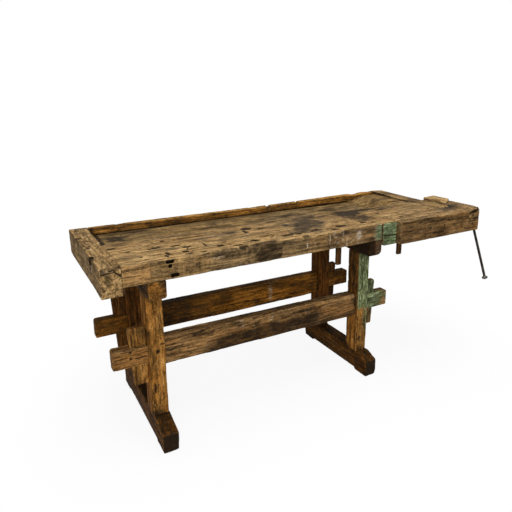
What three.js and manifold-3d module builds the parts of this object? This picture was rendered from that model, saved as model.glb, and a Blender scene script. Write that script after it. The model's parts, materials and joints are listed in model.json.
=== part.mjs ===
// An old joiner's workbench: a thick slab with a tool tray behind it and a tail vise at its right end.
// Two trestles with sledge feet carry it, drawn together by two stretchers whose through tenons are
// held with wedge keys.
// Millimetres. X runs along the bench from the left end, Y from the front edge to the back, Z up from
// the floor. At the end the whole bench moves so that its origin is the middle of its footprint.

import * as THREE from "three";
import { mergeVertices } from "three/addons/utils/BufferGeometryUtils.js";
import Module from "manifold-3d";

// Clearances
const jointFit = 0.3; // pegged and glued joints
const slideFit = 0.5; // wood sliding on wood
const threadFit = 0.4; // screw thread in its nut
const cutOver = 2; // how far a cutter runs past the face that it opens

// Whole bench top
const benchHeight = 800;
const benchDepth = 660;
const topLength = 1880; // outer face of the end cap to outer face of the right end board

// Left end cap, across the left end of the top
const capWidth = 76;
const capHeight = 111;
const capRound = 20; // lower back corner
const tongueLength = 25; // slab tongue in the cap
const tongueThickness = 22;
const tongueInset = 20; // from the slab's front and back faces
const tongueBelowTop = 26;

// Bolt that draws the cap to the slab, with its head in a slot that is open at the top
const boltFromFront = 168;
const boltBelowTop = 44;
const boltDiameter = 14;
const boltHead = 24;
const boltHeadThickness = 11;
const boltNut = 26;
const boltNutThickness = 14;
const boltNutInSlab = 74; // from the cap's inner face
const boltSlotWidth = 34;
const boltSlotDepth = 13;

// Front slab
const slabThickness = 81;
const slabDepth = 322;
const notchDepth = 113; // front corner cut away for the tail vise

// Sockets left by a face vise that the bench no longer has
const socketFromCap = 163;
const socketWidth = 32;
const socketHeight = 13;
const socketDepth = 30;
const socketUpperBelowTop = 11; // to its middle
const socketLowerAboveBottom = 15; // to its middle
const socketLowerShift = 17;
const socketHoleDiameter = 15;
const socketHoleBelowTop = 28;

// Dog holes and bench dogs
const benchDogLength = 178;
const viseDogLength = 188;
const dogWidth = 26; // along the bench
const dogThickness = 18;
const dogRowFromFront = 68;
const dogSpacing = 150;
const dogFromTrestle = 138; // first hole to the right trestle
const dogMargin = 60; // last hole to the left trestle
const dogSunk = 9; // top of a lowered dog below the bench top
const dogBevel = 8;

// Tool tray
const trayDepth = 36;
const trayFloorThickness = 16;
const grooveDepth = 8;
const railThickness = 30;
const railHeight = 106;
const railTenonLength = 25;
const railTenonHeight = 30;
const railTenonCheek = 8;
const railTenonLift = 12;
const endBoardThickness = 88;
const endBoardRise = 2; // above the bench top
const rampLength = 216;
const rampSlope = 118; // length of the sloping part
const rampSunk = 5;
const rampLip = 3;

// Wood screws
const woodScrewDiameter = 6;
const woodScrewHead = 12;
const woodScrewHeadHeight = 3;
const plateScrewLength = 45;
const endScrewLength = 130;
const endScrewFromFront = 250;
const endScrewRise = 38; // above the underside of the slab

// Fixed jaw of the tail vise
const fixedJawLength = 89;
const jawGap = 5;
const jawTenonLength = 40;
const jawTenonThickness = 34;
const jawTenonHeight = 34;
const pegDiameter = 12;

// Moving part of the tail vise
const viseProud = 22; // its front face stands before the slab
const viseHeight = 114;
const viseJawLength = 135;
const viseDogFromJaw = 81;
const cheekThickness = 36;
const viseTopThickness = 24;
const keeperThickness = 24;
const keeperWidth = 52;
const endBlockGap = 4; // from the right end board
const endBlockLength = 101;
const viseCorner = 36; // rounding of the front corner at the end of the vise
const endBlockDepth = 335;
const fingerHeight = 53; // cheek finger that shows at the end of the vise
const padLength = 84;
const padInset = 8; // from the inner face of the end block
const padDepth = 165; // at its left side
const padSkew = 50; // shallower at its right side
const padThickness = 12;

// Guide runner under the slab
const runnerLength = 350;
const runnerWidth = 40;
const runnerHeight = 32;
const runnerFromFront = 200;
const runnerTenon = 30;
const bracketLength = 60;
const bracketWall = 20;
const bracketFromEnd = 42;

// Vise screw, nut and handle
const nutBlockLength = 100;
const nutBlockGap = 4; // to the front cheek
const nutTenonLength = 50;
const nutTenonWidth = 50;
const nutTenonHeight = 30;
const viseTravel = 150;
const openStop = 11; // left between jaw block and nut block when the vise is fully open
const screwFromFront = 94; // axis behind the front of the vise
const screwDiameter = 32;
const screwPitch = 10;
const threadDepth = 3.5;
const threadFoot = 5.4;
const threadCrest = 3.4;
const threadSides = 16;
const threadRunOut = 15;
const journalDiameter = 30;
const nutDiameter = 44;
const nutLength = 60;
const nutFlangeDiameter = 58;
const nutFlangeThickness = 6;
const garterDiameter = 48;
const garterThickness = 12;
const garterPinDiameter = 6;
const flangePlate = 84;
const flangePlateThickness = 6;
const flangeScrewInset = 11;
const screwHeadDiameter = 46;
const screwHeadLength = 44;
const barDiameter = 14;
const barLength = 402;
const barLean = 21.8; // degrees, lower end towards the front
const barKnobDiameter = 30;
const barKnobHeight = 14;
const barTip = 2; // peened end past the knob

// Trestles
const trestleWidth = 68;
const leftRearPostWidth = 86; // a wider timber than the other posts
const leftTrestleInset = 96; // from the inner face of the end cap
const rightTrestleGap = 2; // from its bearer to the fixed jaw
const frontPostFromFront = 80;
const postDepth = 84;
const rearPostOverhang = 108; // bearer behind the rear post
const bearerRearInset = 30; // from the back rail
const bearerFrontInset = 2;
const bearerWidth = 74;
const leftBearerShift = -8; // to the right of the posts
const rightBearerShift = -2;
const bearerHeight = 75;
const bearerRound = 12;
const postTenonLength = 48;
const postTenonCheek = 20; // shoulder on each side along the bench
const postTenonShoulder = 12; // shoulder front and back
const footWidth = 68;
const leftFootShift = 4; // to the right of the posts
const rightFootShift = 12;
const footHeight = 112;
const leftFootFrontOverhang = 105; // each overhang slopes down from the post
const leftFootRearOverhang = 100;
const rightFootFrontOverhang = 72;
const rightFootRearOverhang = 70;
const footEndHeight = 82;
const footPad = 84;
const footRelief = 12;
const framePegDiameter = 12;
const dowelDiameter = 24;
const dowelDepth = 38; // into the slab and into the bearer
const dowelFrontRow = 190; // from the front of the slab
const dowelRearRow = 272;

// Stretchers and wedge keys
const stretcherHeight = 120;
const stretcherThickness = 50;
const frontStretcherCentre = 388; // above the floor, at the outer face of the left posts
const frontStretcherDrop = 18; // lower at the outer face of the right posts
const rearStretcherCentre = 387;
const rearStretcherDrop = 8;
const stretcherRecess = 12; // front face behind the post's front face
const tenonHeight = 84;
const tenonThickness = 42;
const tenonReach = 140; // past the outer face of the post
const keyTopWidth = 74;
const keyBottomWidth = 58;
const keyThickness = 24;
const keyAbove = 78; // over the tenon
const keyBelow = 89;
const keyCorner = 9;
const keyDraw = 3; // mortise reaches inside the post's outer face
const leftRearKeyLift = 12; // stands higher than the left front key
const leftRearKeyTrim = 13; // narrower than the left front key
const rightKeyTrim = 10;
const rightFrontKeyDriven = 12; // driven further down than the left front key
const rightRearKeyDriven = 24;

// Places worked out from the sizes above
const topZ = benchHeight;
const slabZ = topZ - slabThickness;
const capZ = topZ - capHeight;
const viseZ = topZ - viseHeight;
const trayZ = topZ - trayDepth;
const railZ = topZ - railHeight;
const railY = benchDepth - railThickness;
const slabEnd = topLength - endBoardThickness;
const endBlockX = topLength + endBlockGap;
const viseEnd = endBlockX + endBlockLength;
const nutBlockX = slabEnd - nutBlockLength;
const viseInnerY = notchDepth - slideFit;
const cheekInnerY = cheekThickness - viseProud;
const screwY = screwFromFront - viseProud;
const screwZ = (topZ + viseZ) / 2;
const fixedJawX = nutBlockX - openStop - viseTravel - viseJawLength - jawGap - fixedJawLength;
const viseX = fixedJawX + fixedJawLength + jawGap;
const viseJawEnd = viseX + viseJawLength;
const leftTrestleX = capWidth + leftTrestleInset;
const rightTrestleX = fixedJawX - rightTrestleGap - bearerWidth - rightBearerShift;
const bearerZ = slabZ - bearerHeight;
const bearerRear = railY - bearerRearInset;
const rearPostY = bearerRear - rearPostOverhang - postDepth;
const boltZ = topZ - boltBelowTop;
const dogHoleXs = [];
for (let x = rightTrestleX - dogFromTrestle; x > leftTrestleX + trestleWidth + dogMargin; x -= dogSpacing) {
  dogHoleXs.push(x);
}

// Materials
const finish = (color, roughness, metalness = 0) =>
  new THREE.MeshStandardMaterial({ color, roughness, metalness });
const wornTopWood = finish(0xa98358, 0.85);
const darkFrameWood = finish(0x7a5530, 0.8);
const trayWood = finish(0x9a6a36, 0.8);
const viseWood = finish(0x8a6a42, 0.82);
const greenPaintedWood = finish(0x7d9270, 0.75);
const pegWood = finish(0x5c3d22, 0.8);
const darkIron = finish(0x2e2a28, 0.55, 0.85);
const wornSteel = finish(0x77726c, 0.4, 0.9);

// Solids
const wasm = await Module();
wasm.setup();

function solid(geometry) {
  const bare = geometry.clone();
  bare.deleteAttribute("normal");
  bare.deleteAttribute("uv");
  const merged = mergeVertices(bare, 1e-4);
  return new wasm.Manifold(
    new wasm.Mesh({
      numProp: 3,
      vertProperties: new Float32Array(merged.attributes.position.array),
      triVerts: new Uint32Array(merged.index.array),
    }),
  );
}

const wider = ([low, high], gap) => [low - gap, high + gap];
const around = (centre, size) => [centre - size / 2, centre + size / 2];

function block([x0, x1], [y0, y1], [z0, z1]) {
  const box = new THREE.BoxGeometry(x1 - x0, y1 - y0, z1 - z0);
  box.translate((x0 + x1) / 2, (y0 + y1) / 2, (z0 + z1) / 2);
  return solid(box);
}

function rodX(diameter, [x0, x1], y, z, sides = 20) {
  const rod = new THREE.CylinderGeometry(diameter / 2, diameter / 2, x1 - x0, sides);
  rod.rotateZ(Math.PI / 2).translate((x0 + x1) / 2, y, z);
  return solid(rod);
}

function rodY(diameter, x, [y0, y1], z, sides = 20) {
  const rod = new THREE.CylinderGeometry(diameter / 2, diameter / 2, y1 - y0, sides);
  rod.translate(x, (y0 + y1) / 2, z);
  return solid(rod);
}

function rodZ(diameter, x, y, [z0, z1], sides = 20) {
  const rod = new THREE.CylinderGeometry(diameter / 2, diameter / 2, z1 - z0, sides);
  rod.rotateX(Math.PI / 2).translate(x, y, (z0 + z1) / 2);
  return solid(rod);
}

const outline = (points) => new THREE.Shape(points.map(([a, b]) => new THREE.Vector2(a, b)));
const axis = {
  x: new THREE.Vector3(1, 0, 0),
  y: new THREE.Vector3(0, 1, 0),
  z: new THREE.Vector3(0, 0, 1),
};

// A (Y, Z) outline pulled along X
function prismX(shape, [x0, x1], curveSegments = 6) {
  const prism = new THREE.ExtrudeGeometry(shape, { depth: x1 - x0, bevelEnabled: false, curveSegments });
  prism.applyMatrix4(new THREE.Matrix4().makeBasis(axis.y, axis.z, axis.x));
  return solid(prism.translate(x0, 0, 0));
}

// An (X, Z) outline pulled along Y
function prismY(shape, [y0, y1], curveSegments = 6) {
  const prism = new THREE.ExtrudeGeometry(shape, { depth: y1 - y0, bevelEnabled: false, curveSegments });
  prism.applyMatrix4(new THREE.Matrix4().makeBasis(axis.x, axis.z, axis.y.clone().negate()));
  return solid(prism.translate(0, y1, 0));
}

// An (X, Y) outline pulled up along Z
function prismZ(shape, [z0, z1], curveSegments = 6) {
  const prism = new THREE.ExtrudeGeometry(shape, { depth: z1 - z0, bevelEnabled: false, curveSegments });
  return solid(prism.translate(0, 0, z0));
}

function piece(name, manifold, material) {
  const cut = manifold.getMesh();
  const geometry = new THREE.BufferGeometry();
  geometry.setAttribute("position", new THREE.BufferAttribute(new Float32Array(cut.vertProperties), 3));
  geometry.setIndex(new THREE.BufferAttribute(new Uint32Array(cut.triVerts), 1));
  geometry.computeVertexNormals();
  const mesh = new THREE.Mesh(geometry, material);
  mesh.name = name;
  return mesh;
}

// Shapes that one piece has and its neighbour is cut by; gap widens them for the cut
const slabTongue = (gap) =>
  block(
    [capWidth - tongueLength - gap, capWidth + cutOver],
    wider([tongueInset, slabDepth - tongueInset], gap),
    wider([topZ - tongueBelowTop - tongueThickness, topZ - tongueBelowTop], gap),
  );
const trayBoard = (gap) =>
  block(
    wider([capWidth - grooveDepth, slabEnd + grooveDepth], gap),
    wider([slabDepth - grooveDepth, railY + grooveDepth], gap),
    wider([trayZ - trayFloorThickness, trayZ], gap),
  );
const railTenon = (gap) =>
  block(
    [capWidth - railTenonLength - gap, capWidth + cutOver],
    wider([railY + railTenonCheek, benchDepth - railTenonCheek], gap),
    wider([railZ + railTenonLift, railZ + railTenonLift + railTenonHeight], gap),
  );
const jawTenon = (gap) =>
  block(
    [fixedJawX - jawTenonLength - gap, fixedJawX + cutOver],
    wider(around(notchDepth / 2, jawTenonThickness), gap),
    wider(around((slabZ + topZ) / 2, jawTenonHeight), gap),
  );
const jawPeg = (gap) =>
  rodZ(pegDiameter + 2 * gap, fixedJawX - jawTenonLength / 2, notchDepth / 2, [slabZ, topZ]);
const nutTenon = (gap) =>
  block(
    wider(around((nutBlockX + slabEnd) / 2, nutTenonWidth), gap),
    [notchDepth - cutOver, notchDepth + nutTenonLength + gap],
    wider(around(screwZ, nutTenonHeight), gap),
  );
const nutPeg = (gap) =>
  rodZ(pegDiameter + 2 * gap, (nutBlockX + slabEnd) / 2, notchDepth + nutTenonLength / 2, [slabZ, topZ]);
const capBoltShank = (gap) =>
  rodX(
    boltDiameter + 2 * gap,
    [boltSlotDepth - cutOver, capWidth + boltNutInSlab + boltNutThickness + cutOver + gap],
    boltFromFront,
    boltZ,
  );
const woodScrew = (gap, length, x, y, z) =>
  rodX(woodScrewDiameter + 2 * gap, [x - length - gap, x], y, z, 10).add(
    rodX(woodScrewHead + 2 * gap, [x - woodScrewHeadHeight - gap, x + gap], y, z, 14),
  );
const dowel = (gap, x, y) =>
  rodZ(dowelDiameter + 2 * gap, x, y, wider([slabZ - dowelDepth, slabZ + dowelDepth], gap));
const dogHole = (x, zs) =>
  block(
    around(x, dogWidth + 2 * slideFit),
    around(dogRowFromFront, dogThickness + 2 * slideFit),
    wider(zs, cutOver),
  );

const dowelYs = [dowelFrontRow, dowelRearRow];
const dowelXs = { left: leftTrestleX + trestleWidth / 2, right: rightTrestleX + trestleWidth / 2 };
const endScrews = [
  [endScrewFromFront, slabZ + endScrewRise],
  [(railY + benchDepth) / 2, slabZ + endScrewRise / 2],
];

// Bench top
function leftEndCap() {
  const side = new THREE.Shape();
  side.moveTo(0, capZ);
  side.lineTo(benchDepth - capRound, capZ);
  side.absarc(benchDepth - capRound, capZ + capRound, capRound, -Math.PI / 2, 0);
  side.lineTo(benchDepth, topZ);
  side.lineTo(0, topZ);
  const slotFloor = boltZ - boltHead / 2 - jointFit;
  const slot = block(
    [-cutOver, boltSlotDepth],
    around(boltFromFront, boltSlotWidth),
    [slotFloor, topZ + cutOver],
  );
  return prismX(side, [0, capWidth])
    .subtract(slabTongue(jointFit))
    .subtract(trayBoard(jointFit))
    .subtract(railTenon(jointFit))
    .subtract(capBoltShank(jointFit))
    .subtract(slot);
}

function frontSlab() {
  const nutX = capWidth + boltNutInSlab;
  const notch = block([fixedJawX, slabEnd + cutOver], [-cutOver, notchDepth], wider([slabZ, topZ], cutOver));
  let slab = block([capWidth, slabEnd], [0, slabDepth], [slabZ, topZ])
    .subtract(notch)
    .add(slabTongue(0))
    .subtract(trayBoard(jointFit))
    .subtract(capBoltShank(jointFit))
    .subtract(
      block(
        wider([nutX, nutX + boltNutThickness], jointFit),
        around(boltFromFront, boltNut + 2 * jointFit),
        [slabZ - cutOver, boltZ + boltNut / 2 + jointFit],
      ),
    )
    .subtract(jawTenon(jointFit))
    .subtract(jawPeg(jointFit))
    .subtract(nutTenon(jointFit))
    .subtract(nutPeg(jointFit))
    .subtract(faceViseSockets());
  for (const x of dogHoleXs) {
    slab = slab.subtract(dogHole(x, [slabZ, topZ]));
  }
  for (const x of Object.values(dowelXs)) {
    for (const y of dowelYs) {
      slab = slab.subtract(dowel(jointFit, x, y));
    }
  }
  return slab.subtract(woodScrew(jointFit, endScrewLength, topLength, ...endScrews[0]));
}

function faceViseSockets() {
  const x = capWidth + socketFromCap;
  const upperTop = topZ - socketUpperBelowTop + socketHeight / 2;
  const lowerBottom = slabZ + socketLowerAboveBottom - socketHeight / 2;
  const lowerX = x + socketLowerShift;
  const into = [-cutOver, socketDepth];
  return block([x, x + socketWidth], into, [upperTop - socketHeight, upperTop])
    .add(block([lowerX, lowerX + socketWidth], into, [lowerBottom, lowerBottom + socketHeight]))
    .add(rodY(socketHoleDiameter, x + socketWidth / 2, into, topZ - socketHoleBelowTop));
}

function trayRamp() {
  const start = slabEnd - rampLength;
  const high = topZ - rampSunk;
  const side = outline([
    [start, trayZ],
    [slabEnd, trayZ],
    [slabEnd, high],
    [start + rampSlope, high],
    [start, trayZ + rampLip],
  ]);
  return prismY(side, wider([slabDepth, railY], -jointFit));
}

function backRail() {
  return block([capWidth, slabEnd], [railY, benchDepth], [railZ, topZ])
    .add(railTenon(0))
    .subtract(trayBoard(jointFit))
    .subtract(woodScrew(jointFit, endScrewLength, topLength, ...endScrews[1]));
}

function rightEndBoard() {
  let board = block([slabEnd, topLength], [notchDepth, benchDepth], [slabZ, topZ + endBoardRise]);
  board = board.subtract(trayBoard(jointFit));
  for (const place of endScrews) {
    board = board.subtract(woodScrew(jointFit, endScrewLength, topLength, ...place));
  }
  return board;
}

function fixedJawBlock() {
  return block([fixedJawX, fixedJawX + fixedJawLength], [0, notchDepth], [viseZ, topZ])
    .add(jawTenon(0))
    .subtract(jawPeg(jointFit));
}

function capBolt() {
  return capBoltShank(0).add(
    block(
      [boltSlotDepth - boltHeadThickness, boltSlotDepth],
      around(boltFromFront, boltHead),
      around(boltZ, boltHead),
    ),
  );
}

function capBoltNut() {
  const x = capWidth + boltNutInSlab;
  return block([x, x + boltNutThickness], around(boltFromFront, boltNut), around(boltZ, boltNut)).subtract(
    capBoltShank(jointFit),
  );
}

const top = new THREE.Group();
top.add(
  piece("left_end_cap", leftEndCap(), wornTopWood),
  piece("front_slab", frontSlab(), wornTopWood),
  piece("tray_floor", trayBoard(0), trayWood),
  piece("tray_ramp", trayRamp(), trayWood),
  piece("back_rail", backRail(), trayWood),
  piece("right_end_board", rightEndBoard(), wornTopWood),
  piece("fixed_jaw_block", fixedJawBlock(), greenPaintedWood),
  piece("fixed_jaw_peg", jawPeg(0), pegWood),
  piece("cap_bolt", capBolt(), wornSteel),
  piece("cap_bolt_nut", capBoltNut(), darkIron),
);
endScrews.forEach((place, i) => {
  top.add(piece(`end_board_screw_${i + 1}`, woodScrew(0, endScrewLength, topLength, ...place), darkIron));
});
for (const [side, x] of Object.entries(dowelXs)) {
  dowelYs.forEach((y, i) => {
    top.add(piece(`${side}_bearer_dowel_${i + 1}`, dowel(0, x, y), pegWood));
  });
}

// Bench dogs, each a bar with a bevelled upper edge on the side away from its work
function benchDog(name, length, x, away) {
  const high = topZ - dogSunk;
  const half = dogWidth / 2;
  const side = outline([
    [-half, high - length],
    [half, high - length],
    [half, high - (away > 0 ? dogBevel : 0)],
    [half - (away > 0 ? dogBevel : 0), high],
    [-half + (away < 0 ? dogBevel : 0), high],
    [-half, high - (away < 0 ? dogBevel : 0)],
  ]);
  const dog = piece(name, prismY(side, around(0, dogThickness)), viseWood);
  dog.position.set(x, dogRowFromFront, 0);
  return dog;
}
const viseDogX = viseX + viseDogFromJaw;
top.add(benchDog("bench_dog", benchDogLength, dogHoleXs[0], -1));

// Fixed parts of the vise: nut block tenoned into the notch of the slab, nut and runner bracket
const threadStart = slabEnd - nutLength - viseTravel - openStop;
const threadEnd = slabEnd + nutFlangeThickness + threadRunOut;
const coreDiameter = screwDiameter - 2 * threadDepth;

// A tooth with four corners swept round the screw's axis; its foot is sunk in the core
function threadTooth(gap) {
  const crest = screwDiameter / 2 + gap;
  const foot = coreDiameter / 2 - threadDepth / 2;
  const corners = [
    [-threadFoot / 2 - gap, foot],
    [threadFoot / 2 + gap, foot],
    [threadCrest / 2 + gap, crest],
    [-threadCrest / 2 - gap, crest],
  ];
  const from = threadStart + threadFoot;
  const steps = Math.floor(((threadEnd - threadFoot - from) / screwPitch) * threadSides);
  const positions = [];
  const faces = [];
  for (let step = 0; step <= steps; step++) {
    const turn = (2 * Math.PI * step) / threadSides;
    const along = from + (screwPitch * step) / threadSides;
    for (const [shift, radius] of corners) {
      positions.push(along + shift, radius * Math.cos(turn), radius * Math.sin(turn));
    }
  }
  const count = corners.length;
  for (let step = 0; step < steps; step++) {
    for (let corner = 0; corner < count; corner++) {
      const a = step * count + corner;
      const b = step * count + ((corner + 1) % count);
      faces.push(a, b, b + count, a, b + count, a + count);
    }
  }
  const last = steps * count;
  faces.push(0, 2, 1, 0, 3, 2, last, last + 1, last + 2, last, last + 2, last + 3);
  const tooth = new THREE.BufferGeometry();
  tooth.setAttribute("position", new THREE.Float32BufferAttribute(positions, 3));
  tooth.setIndex(faces);
  return solid(tooth);
}

const threadedRod = (gap) =>
  rodX(coreDiameter + 2 * gap, [threadStart, threadEnd], 0, 0, threadSides).add(threadTooth(gap));
const nutShell = (gap) =>
  rodX(nutDiameter + 2 * gap, [slabEnd - nutLength - gap, slabEnd + cutOver], 0, 0, 24);

function nutBlock() {
  const low = viseZ + keeperThickness + slideFit;
  const high = topZ - viseTopThickness - slideFit;
  return block([nutBlockX, slabEnd], [cheekInnerY + nutBlockGap, notchDepth], [low, high])
    .add(nutTenon(0))
    .subtract(nutPeg(jointFit))
    .subtract(nutShell(jointFit).translate([0, screwY, screwZ]))
    .subtract(rodX(screwDiameter + 4 * slideFit, [nutBlockX - cutOver, slabEnd], screwY, screwZ));
}

function viseNut() {
  return nutShell(0)
    .add(rodX(nutFlangeDiameter, [slabEnd, slabEnd + nutFlangeThickness], 0, 0, 24))
    .subtract(threadedRod(threadFit));
}

const runnerY = [runnerFromFront, runnerFromFront + runnerWidth];
const runnerZ = [slabZ - slideFit - runnerHeight, slabZ - slideFit];

function guideBracket() {
  const xs = [slabEnd - bracketFromEnd - bracketLength, slabEnd - bracketFromEnd];
  const low = runnerZ[0] - slideFit - bracketWall;
  return block(xs, wider(runnerY, bracketWall), [low, slabZ]).subtract(
    block(wider(xs, cutOver), wider(runnerY, slideFit), [runnerZ[0] - slideFit, slabZ + cutOver]),
  );
}

const nut = piece("vise_nut", viseNut(), darkIron);
nut.position.set(0, screwY, screwZ);
top.add(
  nut,
  piece("vise_nut_block", nutBlock(), viseWood),
  piece("nut_block_peg", nutPeg(0), pegWood),
  piece("guide_bracket", guideBracket(), viseWood),
);

// Moving part of the vise
const hollowXs = [viseJawEnd, endBlockX];
const frontY = -viseProud;
const cheekFinger = (gap) =>
  block(
    [endBlockX - cutOver, viseEnd + cutOver],
    [frontY - cutOver, cheekInnerY + gap],
    [viseZ - cutOver, viseZ + fingerHeight + gap],
  );
const runnerTail = (gap) =>
  block([endBlockX - cutOver, endBlockX + runnerTenon + gap], wider(runnerY, gap), wider(runnerZ, gap));
const plateScrewPlaces = [-1, 1].map((up) => screwZ + up * (flangePlate / 2 - flangeScrewInset));
const plateFace = viseEnd + flangePlateThickness;

const viseBackY = frontY + endBlockDepth;

// Plan of the whole vise, with its rounded front corner
function visePlan() {
  const plan = new THREE.Shape();
  plan.moveTo(viseX, frontY);
  plan.lineTo(viseEnd - viseCorner, frontY);
  plan.absarc(viseEnd - viseCorner, frontY + viseCorner, viseCorner, -Math.PI / 2, 0);
  plan.lineTo(viseEnd, viseBackY);
  plan.lineTo(viseX, viseBackY);
  return prismZ(plan, [viseZ, topZ]);
}

function viseEndBlock() {
  let end = block([endBlockX, viseEnd], [frontY, viseBackY], [viseZ, topZ])
    .intersect(visePlan())
    .subtract(cheekFinger(jointFit))
    .subtract(runnerTail(jointFit))
    .subtract(rodX(journalDiameter + 2 * slideFit, wider([endBlockX, viseEnd], cutOver), screwY, screwZ));
  for (const z of plateScrewPlaces) {
    end = end.subtract(woodScrew(jointFit, plateScrewLength, plateFace, screwY, z));
  }
  return end;
}

function viseJawBlock() {
  const whole = block([viseX, viseJawEnd], [cheekInnerY, viseInnerY], [viseZ, topZ]);
  return whole.subtract(dogHole(viseDogX, [viseZ, topZ]));
}

function viseFrontCheek() {
  const whole = block([viseX, viseEnd], [frontY, cheekInnerY], [viseZ, topZ]).intersect(visePlan());
  const upperEnd = block(
    [endBlockX, viseEnd + cutOver],
    [frontY - cutOver, cheekInnerY + cutOver],
    [viseZ + fingerHeight, topZ + cutOver],
  );
  return whole.subtract(upperEnd);
}

function viseRearPad() {
  const padX = endBlockX + padInset;
  const plan = outline([
    [padX, viseBackY - padDepth],
    [padX + padLength, viseBackY - padDepth + padSkew],
    [padX + padLength, viseBackY],
    [padX, viseBackY],
  ]);
  return prismZ(plan, [topZ, topZ + padThickness]);
}

function flangePlateIron() {
  const bore = rodX(journalDiameter + 2 * slideFit, wider([viseEnd, plateFace], cutOver), screwY, screwZ);
  let plate = block([viseEnd, plateFace], around(screwY, flangePlate), around(screwZ, flangePlate));
  plate = plate.subtract(bore);
  for (const z of plateScrewPlaces) {
    plate = plate.subtract(woodScrew(jointFit, plateScrewLength, plateFace, screwY, z));
  }
  return plate;
}

const vise = new THREE.Group();
vise.add(
  piece("vise_jaw_block", viseJawBlock(), viseWood),
  piece("vise_front_cheek", viseFrontCheek(), viseWood),
  piece(
    "vise_top_board",
    block(hollowXs, [cheekInnerY, viseInnerY], [topZ - viseTopThickness, topZ]),
    viseWood,
  ),
  piece(
    "vise_keeper_strip",
    block(hollowXs, [viseInnerY - keeperWidth, viseInnerY], [viseZ, viseZ + keeperThickness]),
    viseWood,
  ),
  piece("vise_end_block", viseEndBlock(), viseWood),
  piece("vise_rear_pad", viseRearPad(), wornTopWood),
  piece(
    "vise_guide_runner",
    block([endBlockX - runnerLength, endBlockX], runnerY, runnerZ).add(runnerTail(0)),
    viseWood,
  ),
  piece("screw_flange_plate", flangePlateIron(), darkIron),
  benchDog("vise_dog", viseDogLength, viseDogX, 1),
);
plateScrewPlaces.forEach((z, i) => {
  vise.add(piece(`flange_screw_${i + 1}`, woodScrew(0, plateScrewLength, plateFace, screwY, z), darkIron));
});

// Screw and handle, built round the screw's own axis
const headXs = [plateFace + slideFit, plateFace + slideFit + screwHeadLength];
const headX = (headXs[0] + headXs[1]) / 2;
const lean = -THREE.MathUtils.degToRad(barLean);
const garterXs = [endBlockX - slideFit - garterThickness, endBlockX - slideFit];
const garterX = (garterXs[0] + garterXs[1]) / 2;
const garterPin = (gap) =>
  rodZ(garterPinDiameter + 2 * gap, garterX, 0, around(0, garterDiameter - 4 * jointFit), 10);

function viseScrew() {
  const barHole = rodZ(barDiameter + 2 * jointFit, headX, 0, around(0, 2 * screwHeadDiameter), 14);
  return threadedRod(0)
    .add(rodX(journalDiameter, [threadEnd - threadRunOut / 2, headXs[0] + cutOver], 0, 0, 24))
    .add(rodX(screwHeadDiameter, headXs, 0, 0, 24))
    .subtract(barHole.rotate([THREE.MathUtils.radToDeg(lean), 0, 0]))
    .subtract(garterPin(jointFit));
}

function screwGarter() {
  return rodX(garterDiameter, garterXs, 0, 0, 24)
    .subtract(rodX(journalDiameter + 2 * jointFit, wider(garterXs, cutOver), 0, 0, 24))
    .subtract(garterPin(jointFit));
}

// At rest the bar hangs with its upper knob on the screw's head
const barHigh = screwHeadDiameter / 2 + jointFit + barKnobHeight + barTip;
const barZs = [barHigh - barLength, barHigh];

function barKnob(z0) {
  const half = barDiameter / 2 + jointFit;
  const rim = barKnobDiameter / 2;
  const profile = [
    [half, 0],
    [rim - barKnobHeight / 4, 0],
    [rim, barKnobHeight / 4],
    [rim, (barKnobHeight * 3) / 4],
    [rim - barKnobHeight / 4, barKnobHeight],
    [half, barKnobHeight],
    [half, 0],
  ];
  const knob = new THREE.LatheGeometry(outline(profile).getPoints(), 18);
  knob.rotateX(Math.PI / 2).translate(0, 0, z0);
  return solid(knob);
}

const screw = new THREE.Group();
screw.position.set(0, screwY, screwZ);
const handle = new THREE.Group();
handle.position.set(headX, 0, 0);
handle.rotation.x = lean;
handle.add(
  piece("tommy_bar", rodZ(barDiameter, 0, 0, barZs, 14), darkIron),
  piece("tommy_knob_upper", barKnob(barZs[1] - barTip - barKnobHeight), darkIron),
  piece("tommy_knob_lower", barKnob(barZs[0] + barTip), darkIron),
);
screw.add(
  piece("vise_screw", viseScrew(), darkIron),
  piece("screw_garter", screwGarter(), darkIron),
  piece("garter_pin", garterPin(0), darkIron),
  handle,
);
vise.add(screw);

// Trestles
const postYs = {
  front: [frontPostFromFront, frontPostFromFront + postDepth],
  rear: [rearPostY, rearPostY + postDepth],
};
const stretcherFront = (row) => postYs[row][0] + stretcherRecess;
const stretcherY = (row) => [stretcherFront(row), stretcherFront(row) + stretcherThickness];
const tenonY = (row) => around(stretcherFront(row) + stretcherThickness / 2, tenonThickness);
const outerFaces = { left: leftTrestleX, right: rightTrestleX + trestleWidth };
const stretcherCentre = { front: frontStretcherCentre, rear: rearStretcherCentre };
const stretcherDrop = { front: frontStretcherDrop, rear: rearStretcherDrop };
const stretcherZ = (row, x) =>
  stretcherCentre[row] - (stretcherDrop[row] * (x - outerFaces.left)) / (outerFaces.right - outerFaces.left);
const framePegZ = { foot: footHeight - postTenonLength / 2, bearer: bearerZ + postTenonLength / 2 };
const acrossXs = {
  left: {
    foot: [leftFootShift, leftFootShift + footWidth],
    bearer: [leftBearerShift, leftBearerShift + bearerWidth],
  },
  right: {
    foot: [rightFootShift, rightFootShift + footWidth],
    bearer: [rightBearerShift, rightBearerShift + bearerWidth],
  },
};
const footOverhangs = {
  left: { front: leftFootFrontOverhang, rear: leftFootRearOverhang },
  right: { front: rightFootFrontOverhang, rear: rightFootRearOverhang },
};
const isLeftRear = (side, row) => side === "left" && row === "rear";
const postWidth = (side, row) => (isLeftRear(side, row) ? leftRearPostWidth : trestleWidth);

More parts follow.
